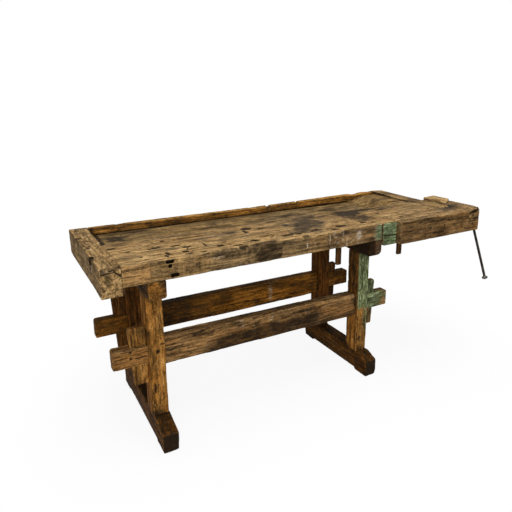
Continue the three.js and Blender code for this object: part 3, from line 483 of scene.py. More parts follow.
def make_slab():
    s = Surface("front_slab", 3.4)
    P = s.P
    # the front upper arris is worn most where the work was done
    worn = 4 + 14 * smoothstep(300, 440, P[:, X]) * (1 - smoothstep(740, 960, P[:, X]))
    worn = worn + 12 * (noise(P, [70, 400, 400], 3, 3) - 0.4) + 9 * blob(P, TOP_VIEW, (870, 0), (22, 60))
    front = (0.0, 1)
    s.round_edge(Y, front, Z, "high", np.clip(worn, 2.5, 30))
    s.round_edge(Y, front, Z, "low", 2 + 7 * smoothstep(0.4, 0.8, noise(P, 60, 9, 3)))
    s.round_edge(Y, "high", Z, "high", 2 + 7 * smoothstep(0.4, 0.8, noise(P, 70, 12, 3)))
    s.relax(1, 0.4)
    weather(s, X, 0.9, 21)
    s.update_normals()
    top, face = s.facing(Z, 1), s.facing(Y, -1)
    P = s.P
    deep = np.zeros(len(P))
    for i, (x, y, rx, ry, depth) in enumerate(SLAB_PITS):
        m = blob(P, TOP_VIEW, (x, y), (1.1 * rx, 1.1 * ry), 0, 0.35, 0.5, 40 + i) * top
        deep = np.maximum(deep, depth * m)
        s.add("grime", m)
    for i, (a, b, width) in enumerate(SLAB_SCARS):
        m = line(P, TOP_VIEW, a, b, width, 70 + i) * top * smoothstep(0.3, 0.6, noise(P, 35, 80 + i, 2))
        deep = np.maximum(deep, 1.6 * m)
        s.add("grime", 0.6 * m)
    often = 0.03 * (1 - smoothstep(120, 200, P[:, Y])) * (1 - smoothstep(700, 900, P[:, X]))
    dents = smoothstep(0.66, 0.78, noise(P, [22, 13, 13], 91, 2) + often) * np.maximum(top, 0.7 * face)
    deep = np.maximum(deep, 1.3 * dents)
    s.add("grime", 0.5 * dents)
    s.press(deep)
    # stains of the top
    working = 1 - smoothstep(150, 260, P[:, Y])
    s.add("bare", 0.7 * top * working * smoothstep(0.35, 0.7, noise(P, [90, 60, 60], 5, 3)))
    s.add("grey", 0.7 * top * blob(P, TOP_VIEW, (540, 212), (90, 34), 5, 0.6, 0.6, 1))
    for x, y, rx, ry, angle, strength in ((985, 190, 130, 84, 38, 0.95), (1030, 300, 95, 50, 20, 0.8),
                                          (905, 110, 70, 40, 40, 0.7)):
        m = top * blob(P, TOP_VIEW, (x, y), (rx, ry), angle, 0.5, 0.6, 2)
        s.add("grey", strength * m)
        s.add("grime", 0.56 * m)
    for x, y, rx, ry, strength in ((1285, 262, 78, 60, 1.0), (1400, 285, 100, 30, 0.85), (1290, 165, 86, 66, 0.6),
                                   (1520, 270, 150, 40, 0.5), (1700, 200, 110, 60, 0.4), (1130, 60, 60, 26, 0.35)):
        s.add("grime", strength * top * blob(P, TOP_VIEW, (x, y), (rx, ry), 0, 0.6, 0.6, 4))
    s.add("grey", 0.5 * top * smoothstep(240, 322, P[:, Y]) * smoothstep(0.4, 0.65, noise(P, [160, 50, 50], 8, 3)))
    # a darker band along the slab's rear edge: painted shade of the step down to the tray
    s.add("grime", 0.4 * top * smoothstep(300, 322, P[:, Y]))
    s.add("grime", 0.42 * top * smoothstep(0.46, 0.7, noise(P, [130, 46, 46], 17, 3)))
    # front face: upright saw marks, dirt, the smoother patch at the left and pale smears
    sawn = smoothstep(0.42, 0.66, noise(P, [7, 60, 70], 18, 2)) * smoothstep(240, 280, P[:, X])
    sawn = sawn * (1 - 0.8 * smoothstep(640, 760, P[:, X]))
    s.add("grime", face * (0.12 + 0.16 * sawn + 0.3 * smoothstep(0.4, 0.68, noise(P, [110, 60, 34], 14, 3))))
    s.add("grey", 0.5 * face * smoothstep(380, 470, P[:, X]) * (1 - smoothstep(820, 960, P[:, X])))
    s.add("grey", 0.3 * face * smoothstep(960, 1060, P[:, X]))
    s.add("warm", 0.3 * face * smoothstep(880, 1000, P[:, X]))
    flecks = smoothstep(0.62, 0.7, noise(P, [6, 20, 9], 15, 2)) * smoothstep(960, 1010, P[:, X])
    s.add("pale", 0.7 * face * flecks * (1 - smoothstep(1150, 1210, P[:, X])))
    smooth_patch = face * (1 - smoothstep(174, 184, P[:, X]))
    s.take("grime", 0.65 * smooth_patch)
    s.add("warm", 0.42 * smooth_patch)
    s.add("grime", 0.45 * face * np.exp(-((P[:, X] - 179) / 3.0) ** 2))
    arris = smoothstep(786, 796, P[:, Z]) * (1 - smoothstep(2, 26, P[:, Y]))
    arris = arris * (1 - 0.5 * smoothstep(860, 960, P[:, X]))
    s.add("bare", 0.9 * arris * smoothstep(0.4, 0.62, noise(P, [36, 20, 12], 19, 2)))
    lip = np.maximum(face, smoothstep(766, 790, P[:, Z]) * (1 - smoothstep(16, 30, P[:, Y])))
    for x, z, rx, rz, strength in FRONT_DIRT:
        s.add("grime", strength * lip * blob(P, FRONT_VIEW, (x, z), (rx, rz), 0, 0.5, 0.6, 6))
    black = lip * blob(P, FRONT_VIEW, (680, 762), (66, 62), 0, 0.3, 0.4, 25)
    s.add("grime", 0.62 * black)
    s.add("grey", 0.6 * np.maximum(black, lip * blob(P, FRONT_VIEW, (476, 780), (70, 24), 0, 0.5, 0.5, 26)))
    for x, z, rx, rz, strength in FRONT_SMEARS:
        m = face * blob(P, FRONT_VIEW, (x, z), (rx, rz), 0, 0.5, 0.6, 7)
        s.add("pale", strength * m)
        s.take("grime", 0.8 * m)
    s.add("paint", face * (0.76 * smoothstep(1210, 1284, P[:, X]) - 0.2 * smoothstep(745, 724, P[:, Z])))
    s.add("pale", 0.45 * face * smoothstep(1238, 1274, P[:, X]))
    s.add("paint", 0.42 * top * smoothstep(1240, 1290, P[:, X]) * (1 - smoothstep(30, 75, P[:, Y])))
    s.take("paint", 0.8 * smoothstep(1290, 1297, P[:, X]))
    s.take("grime", 0.75 * face * smoothstep(1234, 1264, P[:, X]))
    s.add("grime", 0.75 * face * smoothstep(1288, 1296, P[:, X]))
    # painted shade on the faces that look down
    s.add("grime", 0.8 * s.facing(Z, -1))
    # the sockets and the dog holes are darkened inside: painted shade
    buried = smoothstep(1.5, 4, P[:, Y]) * (1 - smoothstep(796, 798, P[:, Z])) * smoothstep(721, 723, P[:, Z])
    s.add("grime", buried * (P[:, X] > 230) * (P[:, X] < 300) * (P[:, Y] < 36))
    s.add("grime", buried * (np.abs(P[:, Y] - 68) < 14) * (P[:, X] > 310) * (P[:, X] < 1115))
    s.finish(wood_for("top", X))


make_slab()


def plain(node, kind, axis, voxel, least, most, deep, seed, then=None):
    """A worn piece with rounded edges and raised grain; then adds its own marks."""
    s = Surface(node, voxel)
    s.round_box(least, most, seed)
    s.relax(1, 0.3)
    weather(s, axis, deep, seed + 50)
    s.update_normals()
    s.add("grime", 0.45 * smoothstep(0.48, 0.74, noise(s.P, 60, seed + 60, 3)))
    dents = smoothstep(0.68, 0.8, noise(s.P, 16, seed + 61, 2))
    s.press(1.0 * dents)
    s.add("grime", 0.45 * dents)
    if then:
        then(s)
    return s.finish(wood_for(kind, axis))


def cap_marks(s):
    P = s.P
    face, left, top = s.facing(Y, -1), s.facing(X, -1), s.facing(Z, 1)
    # the front upper corner is split off down to a grey ledge
    ledge = smoothstep(1, 6, P[:, X]) * (1 - smoothstep(45, 52, P[:, X])) * (1 - smoothstep(17, 26, P[:, Y]))
    P[:, Z] -= 0.9 * ledge * np.clip(P[:, Z] - 787 - 4 * noise(P, 16, 32, 2), 0, 20)
    ledge = ledge * smoothstep(783, 787, P[:, Z])
    s.add("grey", 0.75 * ledge)
    s.add("grime", 0.2 * ledge)
    # a painted shadow line under the split ledge
    s.add("grime", 0.9 * face * line(P, FRONT_VIEW, (4, 782), (49, 783), 3.5, 3))
    crack = np.maximum(line(P, FRONT_VIEW, (50, 800), (53, 784), 4), line(P, FRONT_VIEW, (53, 784), (80, 764), 4))
    s.add("grime", 0.95 * crack * face)
    s.press(2.0 * crack * face)
    s.add("bare", 0.45 * face * smoothstep(0.4, 0.65, noise(P, [14, 30, 90], 33, 3)))
    s.add("grime", 0.5 * face * blob(P, FRONT_VIEW, (28, 762), (17, 26), 0, 0.6, 0.6, 36))
    s.add("bare", 0.5 * left * smoothstep(0.35, 0.65, noise(P, [60, 90, 40], 30, 3)))
    s.add("grey", 0.3 * left * smoothstep(0.3, 0.65, noise(P, [60, 120, 30], 34, 3)))
    # painted shade of the bolt's slot on the cap's left face
    s.add("grime", 0.85 * left * blob(P, SIDE_VIEW, (172, 784), (24, 26), 0, 0.5, 0.5, 31))
    s.add("grey", 0.3 * top * smoothstep(0.4, 0.7, noise(P, [40, 120, 30], 35, 3)))
    s.add("grime", 0.75 * top * smoothstep(0.52, 0.7, noise(P, [20, 46, 30], 38, 3)))
    s.add("bare", 0.5 * top * smoothstep(0.4, 0.6, noise(P, [30, 70, 30], 27, 3)))
    # the cap has warped outwards at the back
    P[:, X] -= 4 * smoothstep(150, 640, P[:, Y]) * (1 - smoothstep(20, 60, P[:, X]))
    # the bolt's slot is darkened inside: painted shade
    slot = (np.abs(P[:, Y] - 168) < 20) * smoothstep(0.5, 2.0, P[:, X]) * (P[:, X] < 17)
    s.add("grime", slot * smoothstep(738, 742, P[:, Z]) * (1 - smoothstep(797, 799, P[:, Z])))
    # painted shade on the faces that look down
    s.add("grime", 0.8 * s.facing(Z, -1))
    # darker along the seam with the slab, and more where the cap's edge stands over the tray, which is painted shade
    seam = smoothstep(69, 75, P[:, X]) * smoothstep(0.35, 0.6, noise(P, [60, 34, 60], 39, 2))
    s.add("grime", top * seam * (0.5 + 0.4 * smoothstep(280, 340, P[:, Y])))


plain("left_end_cap", "top", Y, 3.4, 1, 6, 1.0, 110, cap_marks)


def tray_marks(s):
    P = s.P
    top = s.facing(Z, 1)
    for x, y, rx, ry, strength in ((172, 516, 48, 52, 0.85), (290, 560, 120, 30, 0.45), (330, 500, 70, 40, 0.3)):
        m = top * blob(P, TOP_VIEW, (x, y), (rx, ry), 0, 0.5, 0.6, 3)
        s.add("grey", strength * m)
        s.add("grime", 0.78 * strength * m)
    s.add("bare", 0.6 * top * smoothstep(0.4, 0.6, noise(P, [160, 60, 50], 40, 3)))
    s.add("grey", 0.6 * top * smoothstep(0.42, 0.62, noise(P, [220, 70, 50], 41, 3)))
    # painted shade where the tray floor meets the back rail
    s.add("grime", 0.6 * top * smoothstep(604, 630, P[:, Y]))
    # painted shadow of the end cap's edge on the tray floor
    s.add("grime", 0.9 * top * (1 - smoothstep(103, 122, P[:, X])))
    s.add("grime", 0.65 * top * smoothstep(0.5, 0.7, noise(P, [150, 40, 50], 42, 3)))
    # painted shade on the faces that look down
    s.add("grime", 0.9 * s.facing(Z, -1))


def ramp_marks(s):
    top = s.facing(Z, 1, 0.4)
    s.add("bare", 0.5 * top * smoothstep(0.4, 0.7, noise(s.P, [80, 40, 40], 43, 3)))
    # painted shade where the ramp meets the back rail
    s.add("grime", 0.6 * top * smoothstep(600, 628, s.P[:, Y]))


def rail_marks(s):
    P = s.P
    top, inner = s.facing(Z, 1), s.facing(Y, -1)
    chew = smoothstep(0.55, 0.8, noise(P, [46, 60, 60], 44, 3)) * top
    s.press(2.2 * chew)
    chip = blob(P, TOP_VIEW, (1036, 640), (15, 24), 0, 0.4, 0.4, 5) * smoothstep(780, 796, P[:, Z])
    s.press(9 * chip)
    nick = blob(P, TOP_VIEW, (1224, 640), (7, 24), 0, 0.4, 0.4, 6) * smoothstep(780, 796, P[:, Z])
    s.press(5 * nick)
    s.add("grime", 0.6 * chip + 0.4 * chew + 0.6 * nick)
    s.add("bare", 0.5 * top)
    s.add("warm", 0.3 * inner)
    s.add("grime", 0.5 * inner * smoothstep(0.42, 0.64, noise(P, [150, 60, 22], 45, 3)))
    # painted shade along the foot of the rail's inner face, over the tray floor
    s.add("grime", 0.7 * inner * (1 - smoothstep(764, 772 + 8 * noise(P, 40, 29, 2), P[:, Z])))
    # its right end has bent upwards, with a break before the end
    bent = 10 * smoothstep(900, 1700, P[:, X]) - 7 * np.exp(-((P[:, X] - 1645) / 30.0) ** 2)
    P[:, Z] += bent * smoothstep(745, 790, P[:, Z])
    # painted shade in the corner of the rail's inner face by the end cap
    s.add("grime", 0.8 * inner * (1 - smoothstep(88, 116, P[:, X])))
    s.add("grime", 0.45 * s.facing(Y, 1) * smoothstep(0.4, 0.7, noise(P, [200, 60, 40], 46, 3)))
    # painted shade on the faces that look down
    s.add("grime", 0.8 * s.facing(Z, -1))


plain("tray_floor", "tray", X, 5.0, 0.5, 1, 0.8, 120, tray_marks)
plain("tray_ramp", "tray", X, 4.0, 1, 4, 0.8, 130, ramp_marks)
plain("back_rail", "rail", X, 4.0, 1, 5, 0.8, 140, rail_marks)


def end_board_marks(s):
    P = s.P
    top = s.facing(Z, 1)
    s.add("grime", top * (0.15 + 0.4 * smoothstep(0.4, 0.66, noise(P, [40, 110, 40], 56, 3))))
    s.add("grey", 0.4 * top * smoothstep(0.4, 0.66, noise(P, [50, 140, 40], 57, 3)))
    # painted shade on the inner face of the raised end board
    s.add("grime", 0.6 * (1 - smoothstep(1793, 1797, P[:, X])))
    bent = (9 - 5 * smoothstep(1792, 1880, P[:, X])) * smoothstep(380, 650, P[:, Y])
    P[:, Z] += bent * smoothstep(755, 795, P[:, Z])
    s.add("grime", 0.4 * s.facing(X, 1) * smoothstep(0.4, 0.7, noise(P, [60, 150, 30], 47, 3)))


plain("right_end_board", "top", Y, 4.0, 2, 7, 0.8, 150, end_board_marks)


# Tail vise

FIXED_JAW_X = 1302.0


def fixed_jaw_marks(s):
    P = s.P
    face, top = s.facing(Y, -1), s.facing(Z, 1)
    s.add("paint", 0.92 * face + 0.36 * top * (1 - smoothstep(20, 70, P[:, Y])) + 0.5 * s.facing(X, -1))
    s.take("paint", 0.7 * (1 - smoothstep(1304, 1309, P[:, X])) * smoothstep(0.35, 0.6, noise(P, 20, 28, 2)))
    s.take("paint", 0.5 * face * smoothstep(1372, 1388, P[:, X]) * smoothstep(0.3, 0.6, noise(P, 30, 48, 2)))
    s.add("grime", 0.16 * face * smoothstep(0.4, 0.7, noise(P, 24, 49, 3)))
    s.round_edge(X, (FIXED_JAW_X, 1), Z, "low", 22)
    s.round_edge(Y, "low", Z, "low", 12)
    split = line(P, FRONT_VIEW, (1300, 740), (1391, 733), 4)
    s.add("grime", 0.9 * split * face)
    s.press(1.5 * split * face)
    # painted shade on the faces that look down
    s.add("grime", 0.85 * s.facing(Z, -1))


plain("fixed_jaw_block", "top", X, 3.4, 3, 13, 0.9, 160, fixed_jaw_marks)

# cracks of the vise's front: start, end, width
VISE_CRACKS = [
    ((1396, 790), (1490, 787), 3.0), ((1410, 748), (1475, 742), 3.0), ((1850, 757), (1975, 753), 3.0),
    ((1850, 706), (1975, 703), 2.8), ((1640, 770), (1760, 766), 2.2), ((1560, 716), (1700, 712), 2.2),
]


def bend_vise(s):
    """The end of the vise stands a little higher than the bench top."""
    s.P[:, Z] += 7 * smoothstep(1820, 1985, s.P[:, X]) * smoothstep(740, 795, s.P[:, Z])


def vise_marks(s):
    P = s.P
    face, top, end = s.facing(Y, -1), s.facing(Z, 1), s.facing(X, 1)
    left_part = 1 - smoothstep(1560, 1720, P[:, X])
    s.add("grime", face * (0.1 + 0.28 * left_part + 0.42 * smoothstep(0.4, 0.68, noise(P, [120, 60, 26], 51, 3))))
    s.add("warm", face * (0.3 + 0.4 * smoothstep(0.45, 0.7, noise(P, [150, 60, 24], 50, 3))))
    for i, (a, b, width) in enumerate(VISE_CRACKS):
        m = line(P, FRONT_VIEW, a, b, width, 20 + i) * face
        s.add("grime", 0.9 * m)
        s.press(1.4 * m)
    for x, z in ((1700, 745), (1772, 741), (1726, 770), (1600, 742), (1915, 770), (1915, 728)):
        m = blob(P, FRONT_VIEW, (x, z), (6, 5), 0, 0.5, 0.3, 8) * face
        s.add("grime", 0.95 * m)
        s.press(1.8 * m)
    s.add("pale", 0.9 * face * blob(P, FRONT_VIEW, (1536, 735), (3, 12), 0, 0.4, 0.3, 9))
    s.add("warm", 0.7 * face * blob(P, FRONT_VIEW, (1815, 718), (50, 16), 0, 0.5, 0.4, 10))
    broken = blob(P, FRONT_VIEW, (1940, 790), (46, 9), 8, 0.4, 0.5, 11) * (1 - smoothstep(0, 30, P[:, Y]))
    s.press(8 * broken)
    s.add("grime", 0.9 * broken)
    s.add("grey", 0.8 * top * blob(P, TOP_VIEW, (1850, 105), (95, 52), 15, 0.5, 0.6, 12))
    s.add("grime", 0.6 * top * blob(P, TOP_VIEW, (1870, 100), (90, 45), 15, 0.5, 0.6, 13))
    s.add("bare", 0.55 * top * smoothstep(0.35, 0.65, noise(P, [110, 50, 40], 52, 3)))
    s.add("bare", 0.75 * top * left_part)
    s.add("grime", 0.4 * top * smoothstep(0.45, 0.68, noise(P, [90, 30, 30], 54, 3)))
    s.add("grime", 0.45 * end * smoothstep(0.35, 0.65, noise(P, [30, 60, 40], 53, 3)))
    s.add("grime", 0.4 * s.facing(X, -1) * smoothstep(0.35, 0.65, noise(P, [30, 14, 60], 55, 3)))
    s.add("paint", 0.4 * s.facing(X, -1) * smoothstep(720, 770, P[:, Z]))
    # painted shade on the faces that look down
    s.add("grime", 0.85 * s.facing(Z, -1))
    bend_vise(s)


for k, (node, axis, voxel) in enumerate((
        ("vise_jaw_block", X, 3.4), ("vise_front_cheek", X, 3.0), ("vise_top_board", X, 3.4),
        ("vise_end_block", Y, 3.4))):
    plain(node, "vise", axis, voxel, 1.0, 7, 0.9, 200 + 10 * k, vise_marks)


def pad_marks(s):
    s.take("grime", 0.7)
    s.add("bare", 0.8 * s.facing(Z, 1))
    # painted shadow along the foot of the pad's sides at the back
    s.add("grime", 0.4 * (1 - smoothstep(800, 804, s.P[:, Z])) * smoothstep(170, 200, s.P[:, Y]))
    # its front tip is worn thin
    s.P[:, Z] -= 0.75 * (1 - smoothstep(146, 205, s.P[:, Y])) * np.clip(s.P[:, Z] - 801, 0, 20)
    bend_vise(s)


plain("vise_rear_pad", "top", Y, 2.6, 1, 4, 0.6, 240, pad_marks)
for k, (node, axis) in enumerate((("vise_keeper_strip", X), ("vise_guide_runner", X), ("vise_nut_block", X),
                                  ("guide_bracket", X))):
    plain(node, "dark", axis, 5.0, 1, 4, 0.6, 260 + 10 * k)


def dog_marks(s):
    s.add("grime", 0.3)
    s.add("grey", 0.2)


for k, node in enumerate(("bench_dog", "vise_dog")):
    plain(node, "dark", Z, 3.0, 1, 4, 0.5, 310 + 10 * k, dog_marks)


# Trestles, stretchers and keys

RIGHT_SHOULDER_X = 1228.0


def foot_marks(s):
    P = s.P
    s.add("grime", 0.75 * (1 - smoothstep(10, 60, P[:, Z])) * smoothstep(0.2, 0.6, noise(P, 50, 61, 3)))
    s.add("grime", 0.8 * s.facing(Y, -1) * (1 - smoothstep(70, 105, P[:, Z])))
    s.add("grime", s.facing(Z, 1) * (0.36 + 0.26 * smoothstep(0.45, 0.62, noise(P, 26, 62, 3))))
    s.add("grey", 0.35 * s.facing(Y, -1))


def post_marks(s):
    P = s.P
    left, front = s.facing(X, -1), s.facing(Y, -1)
    # the top of each post is darkened: painted shade under the bearer and the top, with dirt at the joint
    s.add("grime", 0.6 * smoothstep(590, 649, P[:, Z]))
    s.add("grime", 0.22 * left * smoothstep(0.36, 0.64, noise(P, [40, 40, 160], 63, 3)))
    s.add("warm", 0.8 * left)
    s.add("grime", 0.62 * (1 - smoothstep(116, 175, P[:, Z])) * smoothstep(0.25, 0.55, noise(P, 30, 64, 3)))
    s.add("bare", 0.3 * front * smoothstep(0.4, 0.7, noise(P, [20, 40, 140], 65, 3)))
    s.add("warm", 0.5 * front * smoothstep(0.45, 0.7, noise(P, [40, 40, 120], 71, 3)))
    if s.node == "right_front_post":
        s.add("paint", front * (0.86 * smoothstep(290, 380, P[:, Z]) - 0.1))
        s.add("bare", 0.5 * front * smoothstep(320, 380, P[:, Z]))
        right_side = smoothstep(0.4, 0.75, (P[:, X] - s.low[X]) / (s.high[X] - s.low[X]))
        s.add("paint", 0.6 * front * right_side * smoothstep(150, 260, P[:, Z]))
        # painted shade on the upper left face of the right post, under the bearer and the top
        s.add("grime", 0.58 * left * smoothstep(340, 480, P[:, Z]))
        plug = blob(P, SIDE_VIEW, (104, 164), (9, 13), 0, 0.3, 0.2, 16) * left
        s.add("bare", 0.95 * plug)
        s.take("grime", plug)
    if s.node == "left_front_post":
        for x, z, rx, rz in ((208, 396, 7, 9), (188, 236, 4, 22)):
            m = blob(P, FRONT_VIEW, (x, z), (rx, rz), 0, 0.4, 0.3, 14) * front
            s.add("grime", 0.95 * m)
            s.press(2 * m)


def bearer_marks(s):
    P = s.P
    s.add("grime", 0.62 * smoothstep(0.3, 0.58, noise(P, 60, 66, 3)))
    # painted shade on the bearers' left faces, under the top
    s.add("grime", 0.6 * s.facing(X, -1))
    front_end = 1 - smoothstep(60, 150, P[:, Y])
    if s.node == "left_bearer":
        s.add("warm", 0.5 * s.facing(Y, -1))
        s.add("grime", 0.42 * front_end)
        s.round_edge(X, "high", Z, "low", 4 + 18 * front_end)
    else:
        # the left part of the right bearer's front end is darkened as painted shade; its right part is left paler
        # and greyer
        right_part = smoothstep(1252, 1268, P[:, X])
        s.add("grime", 0.75 * front_end * (1 - right_part))
        s.take("grime", 0.6 * right_part * front_end)
        s.add("grey", 0.6 * right_part * front_end)
        s.round_edge(X, "high", Z, "low", 4 + 30 * front_end)


def height_share(s):
    """How high each point stands in a sloping stretcher: 0 at its lower edge, 1 at its upper edge."""
    places = np.array([400.0, 1100.0])
    levels = [s.P[np.abs(s.P[:, X] - x) < 2 * s.voxel, Z] for x in places]
    along = (s.P[:, X] - places[0]) / (places[1] - places[0])
    low, high = ([pick(level) for level in levels] for pick in (np.min, np.max))
    low = low[0] + along * (low[1] - low[0])
    high = high[0] + along * (high[1] - high[0])
    return (s.P[:, Z] - low) / (high - low)


def stretcher_marks(s):
    P = s.P
    front, top = s.facing(Y, -1), s.facing(Z, 1)
    s.add("grime", 0.5 * smoothstep(0.44, 0.68, noise(P, [160, 60, 36], 67, 3)))
    s.add("bare", 0.5 * top * smoothstep(0.4, 0.65, noise(P, [160, 40, 40], 68, 3)))
    s.add("grime", 0.5 * top * smoothstep(0.42, 0.62, noise(P, [120, 30, 30], 73, 3)))
    s.add("warm", 0.5 * front * smoothstep(0.42, 0.66, noise(P, [200, 40, 22], 69, 3)))
    for x in (244, 1226):
        s.add("grime", 0.6 * np.exp(-((P[:, X] - x) / 14.0) ** 2))
    if s.node == "front_stretcher":
        s.add("warm", 0.7 * (1 - smoothstep(176, 190, P[:, X])))
        s.take("grime", 0.5 * (1 - smoothstep(420, 560, P[:, X])))
        s.add("grime", 0.6 * front * smoothstep(0.6, 0.72, noise(P, [44, 30, 8], 74, 2)) * (P[:, X] < 680))
        s.add("bare", 0.42 * front * (1 - smoothstep(420, 620, P[:, X])) * smoothstep(170, 180, P[:, X]))
        share = height_share(s)
        low_part = 1 - smoothstep(0.45, 0.8, share + 0.5 * (noise(P, [90, 40, 30], 75, 3) - 0.5))
        reach = smoothstep(350, 520, P[:, X] + 180 * (0.4 - share)) * (1 - smoothstep(960, 1090, P[:, X]))
        s.add("grime", 0.64 * front * low_part * reach)
        s.add("pale", 0.5 * front * reach * smoothstep(0.68, 0.76, noise(P, 9, 76, 2)))
        s.add("bare", 0.4 * front * smoothstep(0.66, 0.82, share))
        s.add("paint", (0.72 * front + 0.5 * top) * smoothstep(1290, 1310, P[:, X]))
        s.take("paint", 0.4 * smoothstep(1350, 1440, P[:, X]))
        s.add("bare", 0.55 * smoothstep(1360, 1430, P[:, X]))
        for z in (386, 413):
            m = blob(P, FRONT_VIEW, (104, z), (5, 5), 0, 0.4, 0.2, 15) * front
            s.add("grime", m)
            s.press(2 * m)
    else:
        s.add("pale", 0.36 * front * blob(P, FRONT_VIEW, (921, 390), (12, 50), 0, 0.5, 0.5, 18))
        s.add("grime", (1 - smoothstep(380, 760, P[:, X])) * (0.4 + 0.28 * smoothstep(160, 200, P[:, X])))
    # the right shoulder and the tenons' ends are knocked round
    levels = P[np.abs(P[:, X] - RIGHT_SHOULDER_X + 8) < 6, Z]
    s.round_edge(X, (RIGHT_SHOULDER_X, -1), Z, (levels.max(), -1), 16)
    s.round_edge(X, (RIGHT_SHOULDER_X, -1), Z, (levels.min(), 1), 12)
    for face, end in (("low", s.low[X]), ("high", s.high[X])):
        levels = P[np.abs(P[:, X] - end) < 2 * s.voxel, Z]
        s.round_edge(X, face, Z, (levels.max(), -1), 15)
        s.round_edge(X, face, Z, (levels.min(), 1), 9)


def key_marks(s):
    s.add("grime", 0.18 * smoothstep(0.4, 0.7, noise(s.P, [30, 30, 90], 70, 3)))
    s.add("bare", 0.35 * s.facing(Y, -1) * smoothstep(0.35, 0.65, noise(s.P, [30, 30, 90], 72, 3)))
    if s.node == "right_front_key":
        s.add("paint", s.facing(Y, -1) * (0.4 + 0.38 * smoothstep(330, 370, s.P[:, Z])))
        low_end = s.facing(Y, -1) * (1 - smoothstep(320, 350, s.P[:, Z]))
        s.add("grime", 0.42 * low_end)
        s.add("grey", 0.35 * low_end)
        # its lower end is knocked short
        s.P[:, Z] += 12 * (1 - smoothstep(s.low[Z], s.low[Z] + 70, s.P[:, Z]))


# the rear posts and keys and the right bearer take the darker wood as painted shade
for i, side in enumerate(("left", "right")):
    plain(f"{side}_foot", "foot", Y, 4.2, 4, 15, 1.2, 400 + i, foot_marks)
    plain(f"{side}_bearer", ("frame", "dark")[i], Y, 4.2, 4, 14, 1.0, 420 + i, bearer_marks)
    for j, row in enumerate(("front", "rear")):
        kind = "frame" if row == "front" else "dark"
        plain(f"{side}_{row}_post", kind, Z, 4.0, 2, 8, 1.1, 440 + 3 * i + j, post_marks)
        plain(f"{side}_{row}_key", kind, Z, 3.0, 2, 9, 0.8, 470 + 3 * i + j, key_marks)
for j, row in enumerate(("front", "rear")):
    kind = "stretcher" if row == "front" else "amber"
    plain(f"{row}_stretcher", kind, X, 4.0, 2, 11, 1.0, 490 + j, stretcher_marks)


# Pegs, dowels and iron keep their CAD shape

def dress(node, material):
    mesh = NODES[node].data
    mesh.materials.clear()
    mesh.materials.append(material)
    mesh.polygons.foreach_set("use_smooth", np.ones(len(mesh.polygons), bool))
    mesh.set_sharp_from_angle(angle=math.radians(35))


for node in NODES:
    if node.endswith("_peg") or "_dowel_" in node:
        dress(node, wood_for("dark", X if node.split("_")[-2] in ("foot", "bearer") else Z))
for node in ("cap_bolt_nut", "end_board_screw_1", "end_board_screw_2", "flange_screw_1", "flange_screw_2",
             "screw_flange_plate", "vise_nut", "vise_screw", "screw_garter", "garter_pin", "tommy_bar",
             "tommy_knob_upper"):
    dress(node, DARK_IRON)
dress("tommy_knob_lower", WORN_STEEL)
dress("cap_bolt", RUSTY_IRON)


# Stage

def seen(tree):
    """1 for camera, mirror and see-through rays, 0 for the light that falls on the bench."""
    path = tree.nodes.new("ShaderNodeLightPath")
    value = path.outputs["Is Camera Ray"]
    for ray in ("Is Glossy Ray", "Is Transmission Ray"):
        most = tree.nodes.new("ShaderNodeMath")
        most.operation = "MAXIMUM"
        tree.links.new(value, most.inputs[0])
        tree.links.new(path.outputs[ray], most.inputs[1])
        value = most.outputs[0]
    return value


WORLD_LIGHT = 0.36
FLOOR_TONE = 0.6
SHADOW_SHARE = 0.09
SHADOW_REACH = (0.8, 1.5)

scene = bpy.context.scene
scene.view_settings.view_transform = "Standard"
world = bpy.data.worlds.new("studio")
scene.world = world
world.use_nodes = True
background = world.node_tree.nodes["Background"]
background.inputs["Color"].default_value = (1.0, 1.0, 1.0, 1.0)
glow = world.node_tree.nodes.new("ShaderNodeMix")
glow.inputs[2].default_value = WORLD_LIGHT
glow.inputs[3].default_value = 1.0
world.node_tree.links.new(seen(world.node_tree), glow.inputs[0])
world.node_tree.links.new(glow.outputs[0], background.inputs["Strength"])


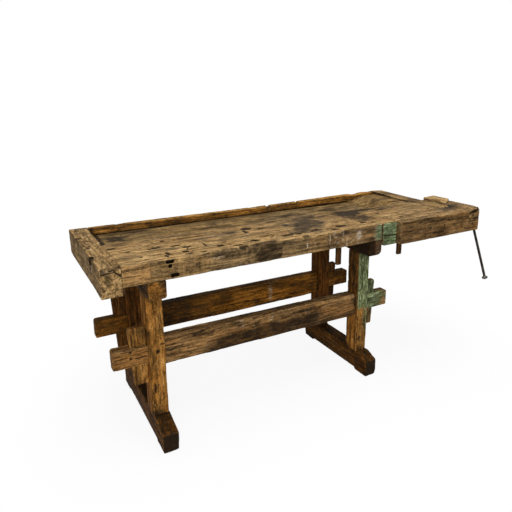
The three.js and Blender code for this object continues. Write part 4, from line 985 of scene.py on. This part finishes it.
def pale_floor():
    """White to the eye with a share of the real shade near the bench, and a plain pale floor to the light."""
    t = Tree("pale_floor")
    eye = seen(t)
    t.put(t.shader.inputs["Base Color"], t.mix(eye, (FLOOR_TONE, FLOOR_TONE, FLOOR_TONE, 1.0), (1.0, 1.0, 1.0, 1.0)))
    t.shader.inputs["Roughness"].default_value = 1.0
    t.shader.inputs["Specular IOR Level"].default_value = 0.0
    distance = t.node("VectorMath", "Value", {"operation": "LENGTH"}, i0=t.node("TexCoord", "Object"))
    white = t.ease(distance, SHADOW_REACH[0], SHADOW_REACH[1], 1.0 - SHADOW_SHARE, 1.0)
    mix = t.nodes.new("ShaderNodeMixShader")
    t.put(mix.inputs[0], t.times(eye, white))
    t.links.new(t.shader.outputs[0], mix.inputs[1])
    t.links.new(t.node("Emission", 0, None, Strength=1.0), mix.inputs[2])
    t.links.new(mix.outputs[0], t.nodes["Material Output"].inputs["Surface"])
    return t.material


floor_mesh = bpy.data.meshes.new("floor")
floor_mesh.from_pydata([(-12, -12, 0), (12, -12, 0), (12, 12, 0), (-12, 12, 0)], [], [(0, 1, 2, 3)])
floor = bpy.data.objects.new("floor", floor_mesh)
scene.collection.objects.link(floor)
floor_mesh.materials.append(pale_floor())


def lamp(name, place, aim, size, power):
    data = bpy.data.lights.new(name, "AREA")
    data.shape = "RECTANGLE"
    data.size, data.size_y = size
    data.energy = power
    obj = bpy.data.objects.new(name, data)
    scene.collection.objects.link(obj)
    obj.location = place
    obj.rotation_euler = (Vector(aim) - Vector(place)).to_track_quat("-Z", "Y").to_euler()


lamp("overhead", (0.3, -0.4, 3.4), (0.0, 0.0, 0.5), (3.0, 2.2), 69)
lamp("front", (-1.55, -3.3, 1.9), (0.0, 0.0, 0.5), (2.2, 1.6), 58)


# Camera at the photograph's viewing place
FOCAL_PX, FRAME_PX, SENSOR = 490.3245, 512.0, 36.0
CENTRE_PX = (273.049, 226.1424)
YAW, PITCH, ROLL = math.radians(30.05), math.radians(-14.417), math.radians(-0.219)
EYE_MM = (-279.91, -1686.34, 1368.89)

camera_data = bpy.data.cameras.new("camera")
camera = bpy.data.objects.new("camera", camera_data)
scene.collection.objects.link(camera)
scene.camera = camera
camera_data.sensor_width = SENSOR
camera_data.lens = FOCAL_PX / FRAME_PX * SENSOR
camera_data.shift_x = (FRAME_PX / 2 - CENTRE_PX[0]) / FRAME_PX
camera_data.shift_y = (CENTRE_PX[1] - FRAME_PX / 2) / FRAME_PX
forward = Vector((math.sin(YAW) * math.cos(PITCH), math.cos(YAW) * math.cos(PITCH), math.sin(PITCH)))
level = Vector((math.cos(YAW), -math.sin(YAW), 0.0))
upward = level.cross(forward)
right = math.cos(ROLL) * level + math.sin(ROLL) * upward
up = math.cos(ROLL) * upward - math.sin(ROLL) * level
turn = Matrix((right, up, -forward)).transposed().to_4x4()
camera.matrix_world = Matrix.Translation(Vector(to_m(EYE_MM))) @ turn
